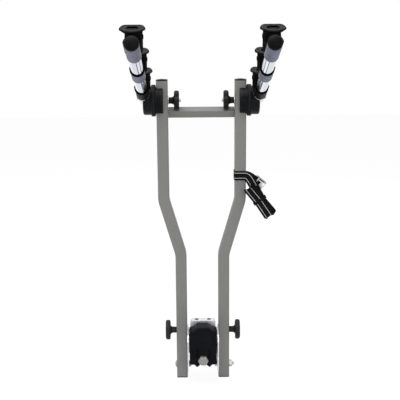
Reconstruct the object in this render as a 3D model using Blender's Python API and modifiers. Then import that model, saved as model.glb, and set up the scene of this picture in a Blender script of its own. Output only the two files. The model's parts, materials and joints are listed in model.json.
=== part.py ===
"""Tow-ball bike rack for three bikes, in metres, +Z up.

The origin is the centre of the tow ball. The vehicle is on the +Y side, the arms reach out to -Y.
"""
import math

import bmesh
import bpy
from mathutils import Matrix, Vector

# Clearances
GAP = 0.0003            # between pieces that touch
RUN_GAP = 0.0003        # radial gap of a bolt in its hole

# Uprights: square tube, bent twice
TUBE_SIDE = 0.030
TUBE_WALL = 0.002
TUBE_CORNER = 0.004
TOP_HALF = 0.102        # from the middle plane to an upright's axis, upper stretch
FOOT_HALF = 0.058       # the same for the lower stretch
FOOT_Z = -0.073
LOWER_BEND_Z = 0.283
UPPER_BEND_Z = 0.434
TOP_Z = 0.7498
BEND_RADIUS = 0.070
CAP_THICK = 0.0022
CAP_PEAK = 0.0015
CAP_TIP_SHARE = 0.12    # of the roof's width that its flat tip keeps
PLUG_DEPTH = 0.014

# Crossbar: square tube set behind the middle of the uprights and turned
BAR_SIDE = 0.0219
BAR_WALL = 0.0018
BAR_CORNER = 0.0025
BAR_Y = 0.0150
BAR_Z = 0.6657
BAR_TURN = math.radians(27)

# Clutch joints at the top, on an axis along X
HUB_Y = -0.004
HUB_Z = 0.6988
BASE_INSET = 0.0028     # how far inside an upright's axis the fixed half starts
BASE_START = TOP_HALF - BASE_INSET
FLANGE_RADIUS = 0.0414
FLANGE_ROUND = 0.0022
RIM_CHAMFER = 0.0006
BASE_RADIUS = 0.0343
SOCKET_RADIUS = 0.0372
TOOTH_COUNT = 16
TOOTH_HEIGHT = 0.0012
TOOTH_INNER = 0.014
TOOTH_OUTER = 0.0335
TOOTH_RUNOUT = 0.0010   # from the teeth's outer ends to the raised rim of a flange
DISC_THICK = 0.0016
DISC_RADIUS = FLANGE_RADIUS - 0.0012
DISC_BORE = 0.008
BASE_LENGTH = 0.0225
SOCKET_LENGTH = 0.0267
BASE_FLANGE = 0.0062
SOCKET_FLANGE = 0.0058
HEAD_RECESS = 0.0082

# Bolts
M8 = 0.004
M10 = 0.005
M6 = 0.003
M8_HEAD_FLATS = 0.013
M8_HEAD_THICK = 0.0053
WASHER_RADIUS = 0.011
WASHER_THICK = 0.0016

# Knobs
KNOB_RADIUS = 0.0270
KNOB_STEM_RADIUS = 0.0085
JOINT_STEM = 0.0140
LOCK_STEM = 0.0163
KNOB_HEAD = 0.0130
KNOB_LOBES = 6
KNOB_LOBE_DEPTH = 0.0024
BOLT_TIP = 0.0045       # how far the joint bolt stands out of its knob

# Arms
ARM_OFFSET = 0.0462     # from an upright's upper axis to its arm's axis
ARM_X = TOP_HALF + ARM_OFFSET
ARM_RISE = math.radians(21.2)
ARM_RADIUS = 0.014
ARM_WALL = 0.0015
ARM_START = 0.020
ARM_END = 0.436
CAP_RADIUS = 0.0163
CAP_DOME = 0.015
ARM_BOLT_AT = 0.0285

# Cradles: three on each arm, measured along the arm from the clutch axis to the ring's front edge
CRADLE_FRONTS = (0.114, 0.264, 0.414)
SLEEVE_LENGTH = 0.054
SLEEVE_WALL = 0.002
RING_RADIUS = 0.0172
RING_WIDTH = 0.0045
NECK_WIDTH = 0.035
NECK_FRONT = -0.015
NECK_REAR = 0.018
NECK_FOOT = 0.008
SHELL_WALL = 0.0022      # the foot's half shell round the sleeve
SHELL_EDGE = 0.0030      # its lower edges, above the arm's axis
DISH_RADIUS = 0.0285
DISH_HEIGHT = 0.0565    # centre of the dish's top plane above the arm's axis
DISH_SHIFT = 0.0035     # and behind the middle of the sleeve
DISH_OUT = 0.0028       # and outwards, away from the middle plane
DISH_THICK = 0.0125
DISH_RIM = 0.0030
DISH_FLAT = 0.0190      # the dish's straight far edge, from its centre
DISH_TILT = math.radians(40)
TROUGH_RADIUS = 0.060
TROUGH_SINK = 0.0018
SLOT_NEAR_WIDTH = 0.017
SLOT_FAR_WIDTH = 0.024
SLOT_AT = 0.0105
SLOT_LONG = 0.012
SLOT_DEPTH = 0.0040
PEG_RADIUS = 0.0036
PEG_HEIGHT = 0.034
PEG_HEAD_RADIUS = 0.0056
PEG_HEAD_THICK = 0.0015

# Rubber straps
STRAP_THICK = 0.003
STRAP_HALF = 0.0062
STRAP_SPAN = 0.0215
STRAP_SIDE_GAP = 0.0016

# Coupling: bracket, housing, jaw, bolt and hood
BALL_RADIUS = 0.025
SOCKET_CLEAR = 0.0004
PIVOT_Z = -0.040
LOCK_RADIUS = 0.102     # from the pivot to a lock bolt
TILT_RANGE = math.radians(30)
PLATE_THICK = 0.003
PLATE_INNER = FOOT_HALF - TUBE_SIDE / 2 - GAP - PLATE_THICK
SECTOR_RADIUS = 0.114
BACK_Y = 0.026
BACK_THICK = 0.004
BACK_TOP = 0.058
WEB_Y = -0.024
WEB_THICK = 0.004
WEB_HALF = PLATE_INNER - 0.0047
WEB_TOP = 0.097
WEB_CHAMFER = 0.005
FLANGE_REAR = -0.004
FLANGE_HOLE_X = 0.017
FLANGE_HOLE_Y = -0.012
FLANGE_HOLE = 0.0043
HOUSING_HALF = PLATE_INNER - 0.0077
HOUSING_TOP = 0.042
HOUSING_BOTTOM = -0.0165
HOUSING_FRONT = -0.057
BRIDGE_THICK = 0.0097
JAW_HALF = 0.0227
JAW_FRONT = -0.036
JAW_REAR = -0.006
JAW_TOP = 0.024
JAW_BOTTOM = -0.0160
NECK_CLEAR = 0.018
CLAMP_BOLT = 0.008
CLAMP_FLATS = 0.024
CLAMP_HEAD = 0.010
CLAMP_HEAD_Y = -0.066
NOSE_RADIUS = 0.005
NOSE_LENGTH = 0.005
HOOD_HALF = PLATE_INNER - 0.0024
HOOD_WALL = 0.003
HOOD_FRONT = -0.064
HOOD_BOTTOM = -0.015
HOOD_SHOULDER = 0.082
HOOD_TOP = 0.0915
HOOD_BAND_HALF = 0.0208
HOOD_BAND_PROUD = 0.0022
HOOD_ROUND = 0.005
ARCH_HALF = 0.0155
ARCH_TOP = 0.022
LOBE_BOTTOM = -0.021
LOCK_HEAD_RADIUS = 0.007
LOCK_HEAD_THICK = 0.0018
PIVOT_NUT_RADIUS = 0.0085
PIVOT_HEAD = 0.0032     # height of the left pivot bolt's domed head
PIVOT_HEAD_RADIUS = 0.0100
OUTER_NUT_FLATS = 0.017
OUTER_NUT_THICK = 0.0075
PIVOT_TIP = 0.0057      # how far the right pivot bolt's end stands out of its nut

# Webbing strap: one ribbon from the buckle round the right upright into its folded spare length
WEB_WIDTH = 0.025
WEB_THICKNESS = 0.0015
WRAP_Z = 0.500
WRAP_GAP = 0.0004
BUCKLE_X = TOP_HALF + 0.0535
BUCKLE_Y = -0.0100
BUCKLE_Z = 0.4810
BUCKLE_LEAN = math.radians(40)
BUCKLE_GRIP = 0.009     # how far the ribbon reaches past the buckle's middle
SHEET = 0.0016
HANK_RUNS = 7
HANK_PITCH = 0.0026
HANK_BACK_Y = -0.0225
HANK_SQUEEZE = 0.22     # share of the pitch that the tie takes out at the waist
HANK_BACK_RUN = ((0.0460, 0.4740), (0.0555, 0.4360), (0.0840, 0.3985))    # from the upright's axis
HANK_FRONT_RUN = ((0.0215, 0.4665), (0.0526, 0.4300), (0.0775, 0.3885))
TIE_WIDTH = 0.006
TIE_WALL = 0.0015

# Facets
ROUND = 20

SIDES = {"left": -1, "right": 1}
QUARTER = math.pi / 2


def clear_scene():
    for obj in list(bpy.data.objects):
        bpy.data.objects.remove(obj, do_unlink=True)


def new_collection(name):
    collection = bpy.data.collections.new(name)
    bpy.context.scene.collection.children.link(collection)
    return collection


clear_scene()
PARTS = new_collection("hitch_bike_rack")
CUTTERS = new_collection("cutters")


def make_material(name, colour, roughness, metallic):
    material = bpy.data.materials.new(name)
    material.use_nodes = True
    shader = material.node_tree.nodes["Principled BSDF"]
    shader.inputs["Base Color"].default_value = (*colour, 1.0)
    shader.inputs["Roughness"].default_value = roughness
    shader.inputs["Metallic"].default_value = metallic
    return material


GREY_PAINT = make_material("grey_paint", (0.30, 0.30, 0.29), 0.45, 0.2)
BLACK_PLASTIC = make_material("black_plastic", (0.02, 0.02, 0.022), 0.45, 0.0)
BLACK_RUBBER = make_material("black_rubber", (0.018, 0.018, 0.018), 0.75, 0.0)
GREY_SLEEVE = make_material("grey_sleeve", (0.33, 0.34, 0.38), 0.5, 0.0)
CHROME = make_material("chrome", (0.85, 0.86, 0.88), 0.12, 1.0)
ZINC = make_material("zinc", (0.70, 0.70, 0.68), 0.35, 0.9)
CAST_STEEL = make_material("cast_steel", (0.10, 0.10, 0.10), 0.6, 0.6)
WEBBING = make_material("webbing", (0.015, 0.015, 0.016), 0.85, 0.0)


def mesh_from(bm, name):
    mesh = bpy.data.meshes.new(name)
    bm.to_mesh(mesh)
    bm.free()
    return mesh


def smooth(mesh, angle=35.0):
    mesh.shade_smooth()
    mesh.set_sharp_from_angle(angle=math.radians(angle))


def place(name, data, parent=None, location=(0, 0, 0), rotation=(0, 0, 0)):
    """Add an object to the scene's root collection; keep() or hide() then files it."""
    obj = bpy.data.objects.new(name, data)
    obj.location = location
    obj.rotation_euler = rotation
    obj.parent = parent
    bpy.context.scene.collection.objects.link(obj)
    return obj


def file_in(obj, collection):
    for old in list(obj.users_collection):
        old.objects.unlink(obj)
    collection.objects.link(obj)


def keep(obj, material):
    """A finished sub-part with its material."""
    file_in(obj, PARTS)
    obj.data.materials.clear()
    obj.data.materials.append(material)
    return obj


def hide(obj):
    """A cutter or a joined shape, which the model itself doesn't show."""
    file_in(obj, CUTTERS)
    obj.hide_render = True
    obj.display_type = "WIRE"
    return obj


def boolean(obj, operand, operation):
    modifier = obj.modifiers.new(operation.title(), "BOOLEAN")
    modifier.operation = operation
    modifier.object = hide(operand)
    modifier.solver = "EXACT"


def cut(obj, *cutters):
    for cutter in cutters:
        boolean(obj, cutter, "DIFFERENCE")


def join(obj, *others):
    for other in others:
        boolean(obj, other, "UNION")


def evaluated_mesh(obj, name):
    bpy.context.view_layer.update()
    graph = bpy.context.evaluated_depsgraph_get()
    mesh = bpy.data.meshes.new_from_object(obj.evaluated_get(graph))
    mesh.name = name
    return mesh


def weld(mesh, distance=0.000002):
    bm = bmesh.new()
    bm.from_mesh(mesh)
    bmesh.ops.remove_doubles(bm, verts=bm.verts, dist=distance)
    bmesh.ops.recalc_face_normals(bm, faces=bm.faces)
    bm.to_mesh(mesh)
    bm.free()


def bevel(obj, width, segments=2, angle=40.0):
    modifier = obj.modifiers.new("Bevel", "BEVEL")
    modifier.width = width
    modifier.segments = segments
    modifier.limit_method = "ANGLE"
    modifier.angle_limit = math.radians(angle)
    modifier.use_clamp_overlap = True


def block(name, low, high, **where):
    """A box between two corners."""
    low = Vector(low)
    high = Vector(high)
    bm = bmesh.new()
    bmesh.ops.create_cube(bm, size=1.0)
    bmesh.ops.scale(bm, vec=high - low, verts=bm.verts)
    bmesh.ops.translate(bm, vec=(low + high) / 2, verts=bm.verts)
    return place(name, mesh_from(bm, name), **where)


def rod(name, radius, start, end, segments=ROUND, **where):
    """A cylinder along local Z from start to end."""
    bm = bmesh.new()
    middle = Matrix.Translation((0, 0, (start + end) / 2))
    bmesh.ops.create_cone(bm, cap_ends=True, segments=segments, radius1=radius, radius2=radius,
                          depth=end - start, matrix=middle)
    mesh = mesh_from(bm, name)
    smooth(mesh)
    return place(name, mesh, **where)


def hexagon(name, flats, start, end, **where):
    """A hexagon bar across its flats, along local Z."""
    return rod(name, flats / 2 / math.cos(math.pi / 6), start, end, segments=6, **where)


def turned(name, profile, ring=False, steps=ROUND, **where):
    """A profile of (radius, height) points, top to bottom along the outside, turned about local Z."""
    bm = bmesh.new()
    verts = [bm.verts.new((radius, 0, height)) for radius, height in profile]
    for first, second in zip(verts, verts[1:]):
        bm.edges.new((first, second))
    if ring:
        bm.edges.new((verts[-1], verts[0]))
    obj = place(name, mesh_from(bm, name), **where)
    modifier = obj.modifiers.new("Screw", "SCREW")
    modifier.axis = "Z"
    modifier.angle = math.tau
    modifier.steps = steps
    modifier.render_steps = steps
    modifier.use_merge_vertices = True
    modifier.merge_threshold = 0.00001
    modifier.use_smooth_shade = True
    return obj


def baked(obj):
    """The same object with its modifiers applied, for a mesh that is shared or shaped by hand."""
    mesh = evaluated_mesh(obj, obj.name)
    obj.modifiers.clear()
    obj.data = mesh
    return obj


def poly_curve(name, outlines, cyclic=True):
    curve = bpy.data.curves.new(name, "CURVE")
    for outline in outlines:
        spline = curve.splines.new("POLY")
        spline.points.add(len(outline) - 1)
        for point, place_at in zip(spline.points, outline):
            point.co = (*place_at, 0.0, 1.0) if len(place_at) == 2 else (*place_at, 1.0)
        spline.use_cyclic_u = cyclic
    return curve


def plate(name, outlines, thickness, **where):
    """Flat outlines in local XY, the first with the others as holes, half the thickness each way."""
    curve = poly_curve(name, outlines)
    curve.dimensions = "2D"
    curve.fill_mode = "BOTH"
    curve.extrude = thickness / 2
    sketch = place(name + "_sketch", curve)
    mesh = evaluated_mesh(sketch, name)
    bpy.data.objects.remove(sketch)
    weld(mesh)
    return place(name, mesh, **where)


def arc(centre, radius, start, end, steps):
    """Points on an arc; the angles are in degrees."""
    points = []
    for index in range(steps + 1):
        angle = math.radians(start + (end - start) * index / steps)
        points.append((centre[0] + radius * math.cos(angle), centre[1] + radius * math.sin(angle)))
    return points


def rounded_rectangle(width, height, radius, steps=2):
    half_x = width / 2 - radius
    half_y = height / 2 - radius
    points = []
    for x, y, start in ((half_x, half_y, 0), (-half_x, half_y, 90), (-half_x, -half_y, 180),
                        (half_x, -half_y, 270)):
        points += arc((x, y), radius, start, start + 90, steps)
    return points


def filleted(points, radius, steps=4):
    """The points of a path with its inner corners rounded to a radius."""
    path = [Vector(points[0])]
    for before, corner, after in zip(points, points[1:], points[2:]):
        corner = Vector(corner)
        back = (Vector(before) - corner).normalized()
        ahead = (Vector(after) - corner).normalized()
        turn = math.pi - back.angle(ahead)
        reach = radius * math.tan(turn / 2)
        start = corner + back * reach
        centre = corner + (back + ahead).normalized() * (radius / math.cos(turn / 2))
        axis = (start - centre).cross(ahead).normalized()
        for index in range(steps + 1):
            spin = Matrix.Rotation(turn * index / steps, 3, axis)
            path.append(centre + spin @ (start - centre))
    path.append(Vector(points[-1]))
    return path


def square_tube(name, path, side, wall, corner, **where):
    """A rounded square tube, open at its ends, along a path."""
    profile = place(name + "_profile", poly_curve(name + "_profile",
                                                  [rounded_rectangle(side, side, corner)]))
    curve = poly_curve(name, [path], cyclic=False)
    curve.dimensions = "3D"
    curve.bevel_mode = "OBJECT"
    curve.bevel_object = profile
    curve.use_fill_caps = False
    sketch = place(name + "_sketch", curve)
    mesh = evaluated_mesh(sketch, name)
    bpy.data.objects.remove(sketch)
    bpy.data.objects.remove(profile)
    weld(mesh)
    tube = place(name, mesh, **where)
    shell = tube.modifiers.new("Wall", "SOLIDIFY")
    shell.thickness = wall
    shell.offset = -1.0
    shell.use_even_offset = True
    return tube


def outward(side):
    """The rotation that lays local Z along X, away from the middle plane on that side."""
    return (0, QUARTER * side, 0)


def upright(name, side):
    points = [(side * FOOT_HALF, 0, FOOT_Z), (side * FOOT_HALF, 0, LOWER_BEND_Z),
              (side * TOP_HALF, 0, UPPER_BEND_Z), (side * TOP_HALF, 0, TOP_Z)]
    tube = square_tube(name + "_upright", filleted(points, BEND_RADIUS), TUBE_SIDE, TUBE_WALL,
                       TUBE_CORNER)
    reach = TUBE_SIDE
    cut(tube,
        rod(name + "_joint_hole", M8 + RUN_GAP, -reach, reach,
            location=(side * TOP_HALF, HUB_Y, HUB_Z), rotation=outward(side)),
        rod(name + "_lock_hole", M8 + RUN_GAP, -reach, reach,
            location=(side * FOOT_HALF, 0, PIVOT_Z + LOCK_RADIUS), rotation=outward(side)),
        rod(name + "_pivot_hole", M10 + RUN_GAP, -reach, reach,
            location=(side * FOOT_HALF, 0, PIVOT_Z), rotation=outward(side)))
    keep(tube, GREY_PAINT)


def crossbar():
    half = TOP_HALF - TUBE_SIDE / 2 - GAP
    path = [Vector((-half, 0, 0)), Vector((half, 0, 0))]
    bar = square_tube("crossbar", path, BAR_SIDE, BAR_WALL, BAR_CORNER,
                      location=(0, BAR_Y, BAR_Z), rotation=(BAR_TURN, 0, 0))
    keep(bar, GREY_PAINT)


def tube_plug(name, side_half, z, up, peak):
    """A plastic cap on a tube's end with its plug inside the tube; up is 1 or -1."""
    inner = TUBE_SIDE - 2 * TUBE_WALL - 2 * GAP
    cap = plate(name, [rounded_rectangle(TUBE_SIDE, TUBE_SIDE, TUBE_CORNER)], CAP_THICK,
                location=(side_half, 0, z + up * (GAP + CAP_THICK / 2)))
    plug = plate(name + "_plug", [rounded_rectangle(inner, inner, TUBE_CORNER - TUBE_WALL)],
                 PLUG_DEPTH, location=(side_half, 0, z + up * (GAP + CAP_THICK / 2 - PLUG_DEPTH / 2)))
    join(cap, plug)
    if peak:
        bm = bmesh.new()
        corner_reach = (TUBE_SIDE / 2 - TUBE_CORNER / 2) * math.sqrt(2)
        lift = Matrix.Translation((0, 0, CAP_THICK / 2 + peak / 2 - 0.0001))
        bmesh.ops.create_cone(bm, cap_ends=True, segments=4, radius1=corner_reach,
                              radius2=corner_reach * CAP_TIP_SHARE, depth=peak,
                              matrix=lift @ Matrix.Rotation(math.pi / 4, 4, "Z"))
        roof = place(name + "_roof", mesh_from(bm, name + "_roof"), location=cap.location)
        join(cap, roof)
    keep(cap, BLACK_PLASTIC)


def toothed(obj, face_height, direction):
    """Lift every second point of the tooth ring's two circles, which makes radial crown teeth."""
    baked(obj)
    for vertex in obj.data.vertices:
        radius = math.hypot(vertex.co.x, vertex.co.y)
        on_ring = min(abs(radius - TOOTH_INNER), abs(radius - TOOTH_OUTER)) < 0.0002
        if on_ring and abs(vertex.co.z - face_height) < 0.0001:
            step = round(math.atan2(vertex.co.y, vertex.co.x) / math.tau * 2 * TOOTH_COUNT)
            if step % 2:
                vertex.co.z += direction * TOOTH_HEIGHT
    obj.data.update()


def base_profile():
    """The fixed half: a drum and a flange with its toothed face outwards."""
    face = BASE_LENGTH - TOOTH_HEIGHT
    flange = BASE_LENGTH - BASE_FLANGE
    bore = M8 + RUN_GAP
    peak = BASE_LENGTH
    profile = [(bore, face), (TOOTH_INNER, face), (TOOTH_OUTER, face),
               (TOOTH_OUTER + TOOTH_RUNOUT, peak), (FLANGE_RADIUS - RIM_CHAMFER, peak),
               (FLANGE_RADIUS, peak - RIM_CHAMFER), (FLANGE_RADIUS, flange + FLANGE_ROUND),
               (FLANGE_RADIUS - FLANGE_ROUND, flange), (BASE_RADIUS, flange)]
    profile += [(BASE_RADIUS, 0.0015), (BASE_RADIUS - 0.0015, 0.0), (bore, 0.0)]
    return profile


def socket_profile():
    """The half that carries the arm, seen from its outer end down to the toothed face."""
    bore = M8 + RUN_GAP
    recess = WASHER_RADIUS - 0.002
    top = SOCKET_LENGTH
    face = TOOTH_HEIGHT
    return [(bore, top - HEAD_RECESS), (recess, top - HEAD_RECESS), (recess, top),
            (SOCKET_RADIUS - 0.002, top), (SOCKET_RADIUS, top - 0.002),
            (SOCKET_RADIUS, SOCKET_FLANGE), (FLANGE_RADIUS - FLANGE_ROUND, SOCKET_FLANGE),
            (FLANGE_RADIUS, SOCKET_FLANGE - FLANGE_ROUND), (FLANGE_RADIUS, RIM_CHAMFER),
            (FLANGE_RADIUS - RIM_CHAMFER, 0.0),
            (TOOTH_OUTER + TOOTH_RUNOUT, 0.0), (TOOTH_OUTER, face), (TOOTH_INNER, face), (bore, face)]


def clutch_base(name, side):
    base = turned(name + "_joint_base", base_profile(), ring=True, steps=2 * TOOTH_COUNT,
                  location=(side * BASE_START, HUB_Y, HUB_Z), rotation=outward(side))
    toothed(base, BASE_LENGTH - TOOTH_HEIGHT, 1)
    inner = TOP_HALF - TUBE_SIDE
    outer = TOP_HALF + TUBE_SIDE / 2 + GAP
    low_x, high_x = sorted((side * inner, side * outer))
    half = TUBE_SIDE / 2 + GAP
    cut(base, block(name + "_channel", (low_x, -half, HUB_Z - FLANGE_RADIUS - 0.01),
                    (high_x, half, HUB_Z + FLANGE_RADIUS + 0.01)))
    keep(base, BLACK_PLASTIC)


def disc_start():
    return BASE_START + BASE_LENGTH + GAP


def socket_start():
    return disc_start() + DISC_THICK + GAP


def friction_disc(name, side):
    disc = turned(name + "_friction_disc",
                  [(DISC_RADIUS, DISC_THICK), (DISC_RADIUS, 0.0), (DISC_BORE, 0.0),
                   (DISC_BORE, DISC_THICK)], ring=True,
                  location=(side * disc_start(), HUB_Y, HUB_Z), rotation=outward(side))
    keep(disc, BLACK_RUBBER)


def joint_bolt(name, side):
    """The bolt that draws the clutch together: its head sits in the socket, its tip past the knob."""
    seat = socket_start() + SOCKET_LENGTH - HEAD_RECESS + GAP
    tip = knob_seat() - JOINT_STEM - KNOB_HEAD - BOLT_TIP
    bolt = rod(name + "_joint_bolt", M8, tip - seat, 0.0005, segments=20,
               location=(side * seat, HUB_Y, HUB_Z), rotation=outward(side))
    head = hexagon(name + "_joint_bolt_head", M8_HEAD_FLATS, 0.0, M8_HEAD_THICK,
                   location=bolt.location, rotation=outward(side))
    join(bolt, head)
    keep(bolt, ZINC)


def knob_seat():
    """Where the upper knobs start, from the middle plane; they reach inwards from there."""
    return TOP_HALF - TUBE_SIDE / 2 - 2 * GAP - WASHER_THICK


def washer(name, side, distance, y, z):
    ring = turned(name, [(WASHER_RADIUS, WASHER_THICK), (WASHER_RADIUS, 0.0),
                         (M8 + RUN_GAP, 0.0), (M8 + RUN_GAP, WASHER_THICK)], ring=True, steps=16,
                  location=(side * distance, y, z), rotation=outward(side))
    keep(ring, ZINC)


def knob_mesh(name, stem, through):
    """A lobed knob on a stem; the bore goes through, or ends inside the head."""
    bore = M8 + RUN_GAP
    length = stem + KNOB_HEAD
    rim = KNOB_RADIUS
    outside = [(rim - 0.0042, length), (rim - 0.0004, length - 0.0030),
               (rim - 0.0004, stem + 0.0026), (rim - 0.0040, stem),
               (0.0115, stem - 0.0008), (KNOB_STEM_RADIUS, stem - 0.004),
               (KNOB_STEM_RADIUS, 0.0), (bore, 0.0)]
    if through:
        profile = [(bore, length - 0.0006)] + outside
    else:
        profile = [(0.0, length - 0.0006)] + outside + [(bore, length - 0.006), (0.0, length - 0.006)]
    knob = turned(name, profile, ring=through, steps=KNOB_LOBES * 4)
    mesh = baked(knob).data
    bpy.data.objects.remove(knob)
    for vertex in mesh.vertices:
        radius = math.hypot(vertex.co.x, vertex.co.y)
        if radius > 0.015:
            angle = math.atan2(vertex.co.y, vertex.co.x)
            dip = KNOB_LOBE_DEPTH * (1 - math.cos(KNOB_LOBES * angle)) / 2
            factor = (radius - dip) / radius
            vertex.co.x *= factor
            vertex.co.y *= factor
    mesh.update()
    smooth(mesh, 50.0)
    return mesh


def arm_frame(name, side):
    """An empty on the clutch axis whose -Y runs out along the arm."""
    empty = place(name + "_arm_frame", None, location=(side * ARM_X, HUB_Y, HUB_Z),
                  rotation=(-ARM_RISE, 0, 0))
    file_in(empty, PARTS)
    return empty


ALONG_ARM = (QUARTER, 0, 0)     # lays local Z along the arm


def arm_socket(name, side, arm):
    inward = -side * (ARM_X - socket_start())
    socket = turned(name + "_arm_socket", socket_profile(), ring=True, steps=2 * TOOTH_COUNT,
                    parent=arm, location=(inward, 0, 0), rotation=outward(side))
    toothed(socket, TOOTH_HEIGHT, -1)
    bolt_floor = socket_start() + TOOTH_HEIGHT + 0.0025 - ARM_X
    cut(socket,
        rod(name + "_arm_bolt_hole", M6 + RUN_GAP, bolt_floor, ARM_RADIUS, parent=arm, segments=12,
            location=(0, -ARM_BOLT_AT, 0), rotation=outward(side)),
        rod(name + "_arm_channel", ARM_RADIUS + GAP, ARM_START - GAP, SOCKET_RADIUS * 2, parent=arm,
            rotation=ALONG_ARM))
    keep(socket, BLACK_PLASTIC)


def arm_tube(name, side, arm):
    inner = ARM_RADIUS - ARM_WALL
    tube = turned(name + "_arm_tube", [(ARM_RADIUS, ARM_END), (ARM_RADIUS, ARM_START),
                                       (inner, ARM_START), (inner, ARM_END)], ring=True, parent=arm,
                  rotation=ALONG_ARM)
    cut(tube, rod(name + "_arm_tube_hole", M6 + RUN_GAP, -ARM_RADIUS * 1.5, ARM_RADIUS * 1.5,
                  parent=arm, segments=12, location=(0, -ARM_BOLT_AT, 0), rotation=outward(side)))
    keep(tube, CHROME)


def arm_bolt(name, side, arm):
    """The cross bolt that holds the tube in its socket, with a low round head outside."""
    head = ARM_RADIUS + GAP
    floor = socket_start() + TOOTH_HEIGHT + 0.0025 + GAP - ARM_X
    bolt = turned(name + "_arm_bolt",
                  [(0.0, head + 0.0034), (0.0038, head + 0.0028), (0.0060, head), (M6, head),
                   (M6, floor), (0.0, floor)], steps=12, parent=arm,
                  location=(0, -ARM_BOLT_AT, 0), rotation=outward(side))
    keep(bolt, ZINC)


def end_cap(name, arm):
    """A domed cap on the arm's tip with its plug inside the tube."""
    plug = ARM_RADIUS - ARM_WALL - GAP
    seat = ARM_END + GAP
    shoulder = seat + 0.0035
    dome = []
    for index in range(5):
        angle = QUARTER * index / 4
        dome.append((CAP_RADIUS * math.sin(angle), shoulder + (CAP_DOME - 0.0035) * math.cos(angle)))
    dome[0] = (0.0, dome[0][1])
    profile = dome + [(CAP_RADIUS, seat), (plug, seat), (plug, seat - 0.012), (0.0, seat - 0.012)]
    cap = turned(name + "_arm_end_cap", profile, parent=arm, rotation=ALONG_ARM)
    keep(cap, BLACK_PLASTIC)


def sleeve_mesh(reach):
    """A sleeve behind its saddle's ring; the reach is how far the ring lies forward of its usual place."""
    bore = ARM_RADIUS + GAP
    outer = bore + SLEEVE_WALL
    front = reach - RING_WIDTH - GAP
    sleeve = turned("cradle_sleeve", [(outer, front), (outer, -SLEEVE_LENGTH), (bore, -SLEEVE_LENGTH),
                                      (bore, front)], ring=True)
    mesh = baked(sleeve).data
    bpy.data.objects.remove(sleeve)
    smooth(mesh)
    return mesh


def saddle_mesh(side, reach):
    """The black saddle, its origin on the arm's axis at the cradle's middle.

    A neck straddles the sleeve, its foot is a half shell that ends in a ring on the tube in front of
    the sleeve, and a round dish on top, tilted towards the arm's tip, has a shallow trough across it
    for a bike's tube. The reach is how far the ring lies forward of its usual place.
    """
    tube = ARM_RADIUS + GAP
    bore = tube + SLEEVE_WALL + GAP
    half = NECK_WIDTH / 2
    front = -SLEEVE_LENGTH / 2 - reach
    on_dish = {"location": (side * DISH_OUT, DISH_SHIFT, DISH_HEIGHT), "rotation": (DISH_TILT, 0, 0)}
    neck = block("cradle_neck", (-half, NECK_FRONT, NECK_FOOT), (half, NECK_REAR, DISH_HEIGHT + 0.01))
    bevel(neck, 0.003, segments=1)
    cut(neck, block("cradle_neck_top", (-0.05, -0.08, -DISH_RIM - 0.001), (0.05, 0.08, 0.06), **on_dish))
    foot = rod("cradle_foot", bore + SHELL_WALL, 0.005 - NECK_REAR, -front - 0.0008,
               rotation=ALONG_ARM)
    cut(foot, block("cradle_foot_trim", (-0.05, -0.1, -0.05), (0.05, 0.1, SHELL_EDGE)))
    dish = turned("cradle_dish",
                  [(0.0, 0.0), (DISH_RADIUS - 0.0012, 0.0), (DISH_RADIUS, -0.0012),
                   (DISH_RADIUS, -DISH_RIM), (DISH_RADIUS * 0.6, -DISH_THICK), (0.0, -DISH_THICK)],
                  **on_dish)
    ring = rod("cradle_ring", RING_RADIUS, -front - RING_WIDTH, -front, rotation=ALONG_ARM)
    join(neck, foot, dish, ring)
    strap_side = half + STRAP_SIDE_GAP + STRAP_THICK
    for side in (-1, 1):
        peg = turned("cradle_peg", [(0.0, strap_side + GAP + PEG_HEAD_THICK),
                                    (PEG_HEAD_RADIUS, strap_side + GAP + PEG_HEAD_THICK),
                                    (PEG_HEAD_RADIUS, strap_side + GAP),
                                    (PEG_RADIUS, strap_side + GAP), (PEG_RADIUS, half - 0.002),
                                    (0.0, half - 0.002)], steps=8,
                     location=(0, 0, PEG_HEIGHT), rotation=outward(side))
        join(neck, peg)
    tilt = Matrix.Rotation(DISH_TILT, 4, "X")
    trough_at = Vector(on_dish["location"]) + tilt @ Vector((0, 0, TROUGH_RADIUS - TROUGH_SINK))
    near_edge = SLOT_AT - SLOT_LONG / 2
    far_edge = SLOT_AT + SLOT_LONG / 2
    slot = [(-SLOT_NEAR_WIDTH / 2, near_edge), (SLOT_NEAR_WIDTH / 2, near_edge),
            (SLOT_FAR_WIDTH / 2, far_edge), (-SLOT_FAR_WIDTH / 2, far_edge)]
    cut(neck,
        rod("cradle_bore", bore, -SLEEVE_LENGTH, -front - RING_WIDTH, rotation=ALONG_ARM),
        rod("cradle_tube_bore", tube, -SLEEVE_LENGTH, -front + 0.002, rotation=ALONG_ARM),
        rod("cradle_trough", TROUGH_RADIUS, -0.05, 0.05, segments=48, location=trough_at,
            rotation=(0, QUARTER, 0)),
        plate("cradle_slot", [slot], 2 * (TROUGH_SINK + SLOT_DEPTH), **on_dish),
        block("cradle_far_edge", (-0.05, DISH_FLAT, -0.02), (0.05, 0.05, 0.02), **on_dish))
    mesh = baked(neck).data
    bpy.data.objects.remove(neck)
    smooth(mesh)
    return mesh


def strap_mesh():
    """A rubber strap with an eye at each end, hanging down from its upper eye, in local YZ."""
    hole = PEG_RADIUS + RUN_GAP
    outline = arc((0, 0), STRAP_HALF, 0, 180, 6)
    outline += arc((0, -STRAP_SPAN), STRAP_HALF, 180, 360, 6)
    upper_eye = arc((0, 0), hole, 0, 330, 11)
    lower_eye = arc((0, -STRAP_SPAN), hole, 0, 330, 11)
    strap = plate("rubber_strap", [outline, upper_eye, lower_eye], STRAP_THICK,
                  rotation=(QUARTER, 0, QUARTER))
    turn = strap.matrix_basis.to_3x3().to_4x4()
    mesh = strap.data
    mesh.transform(turn)
    bpy.data.objects.remove(strap)
    smooth(mesh)
    return mesh


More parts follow.
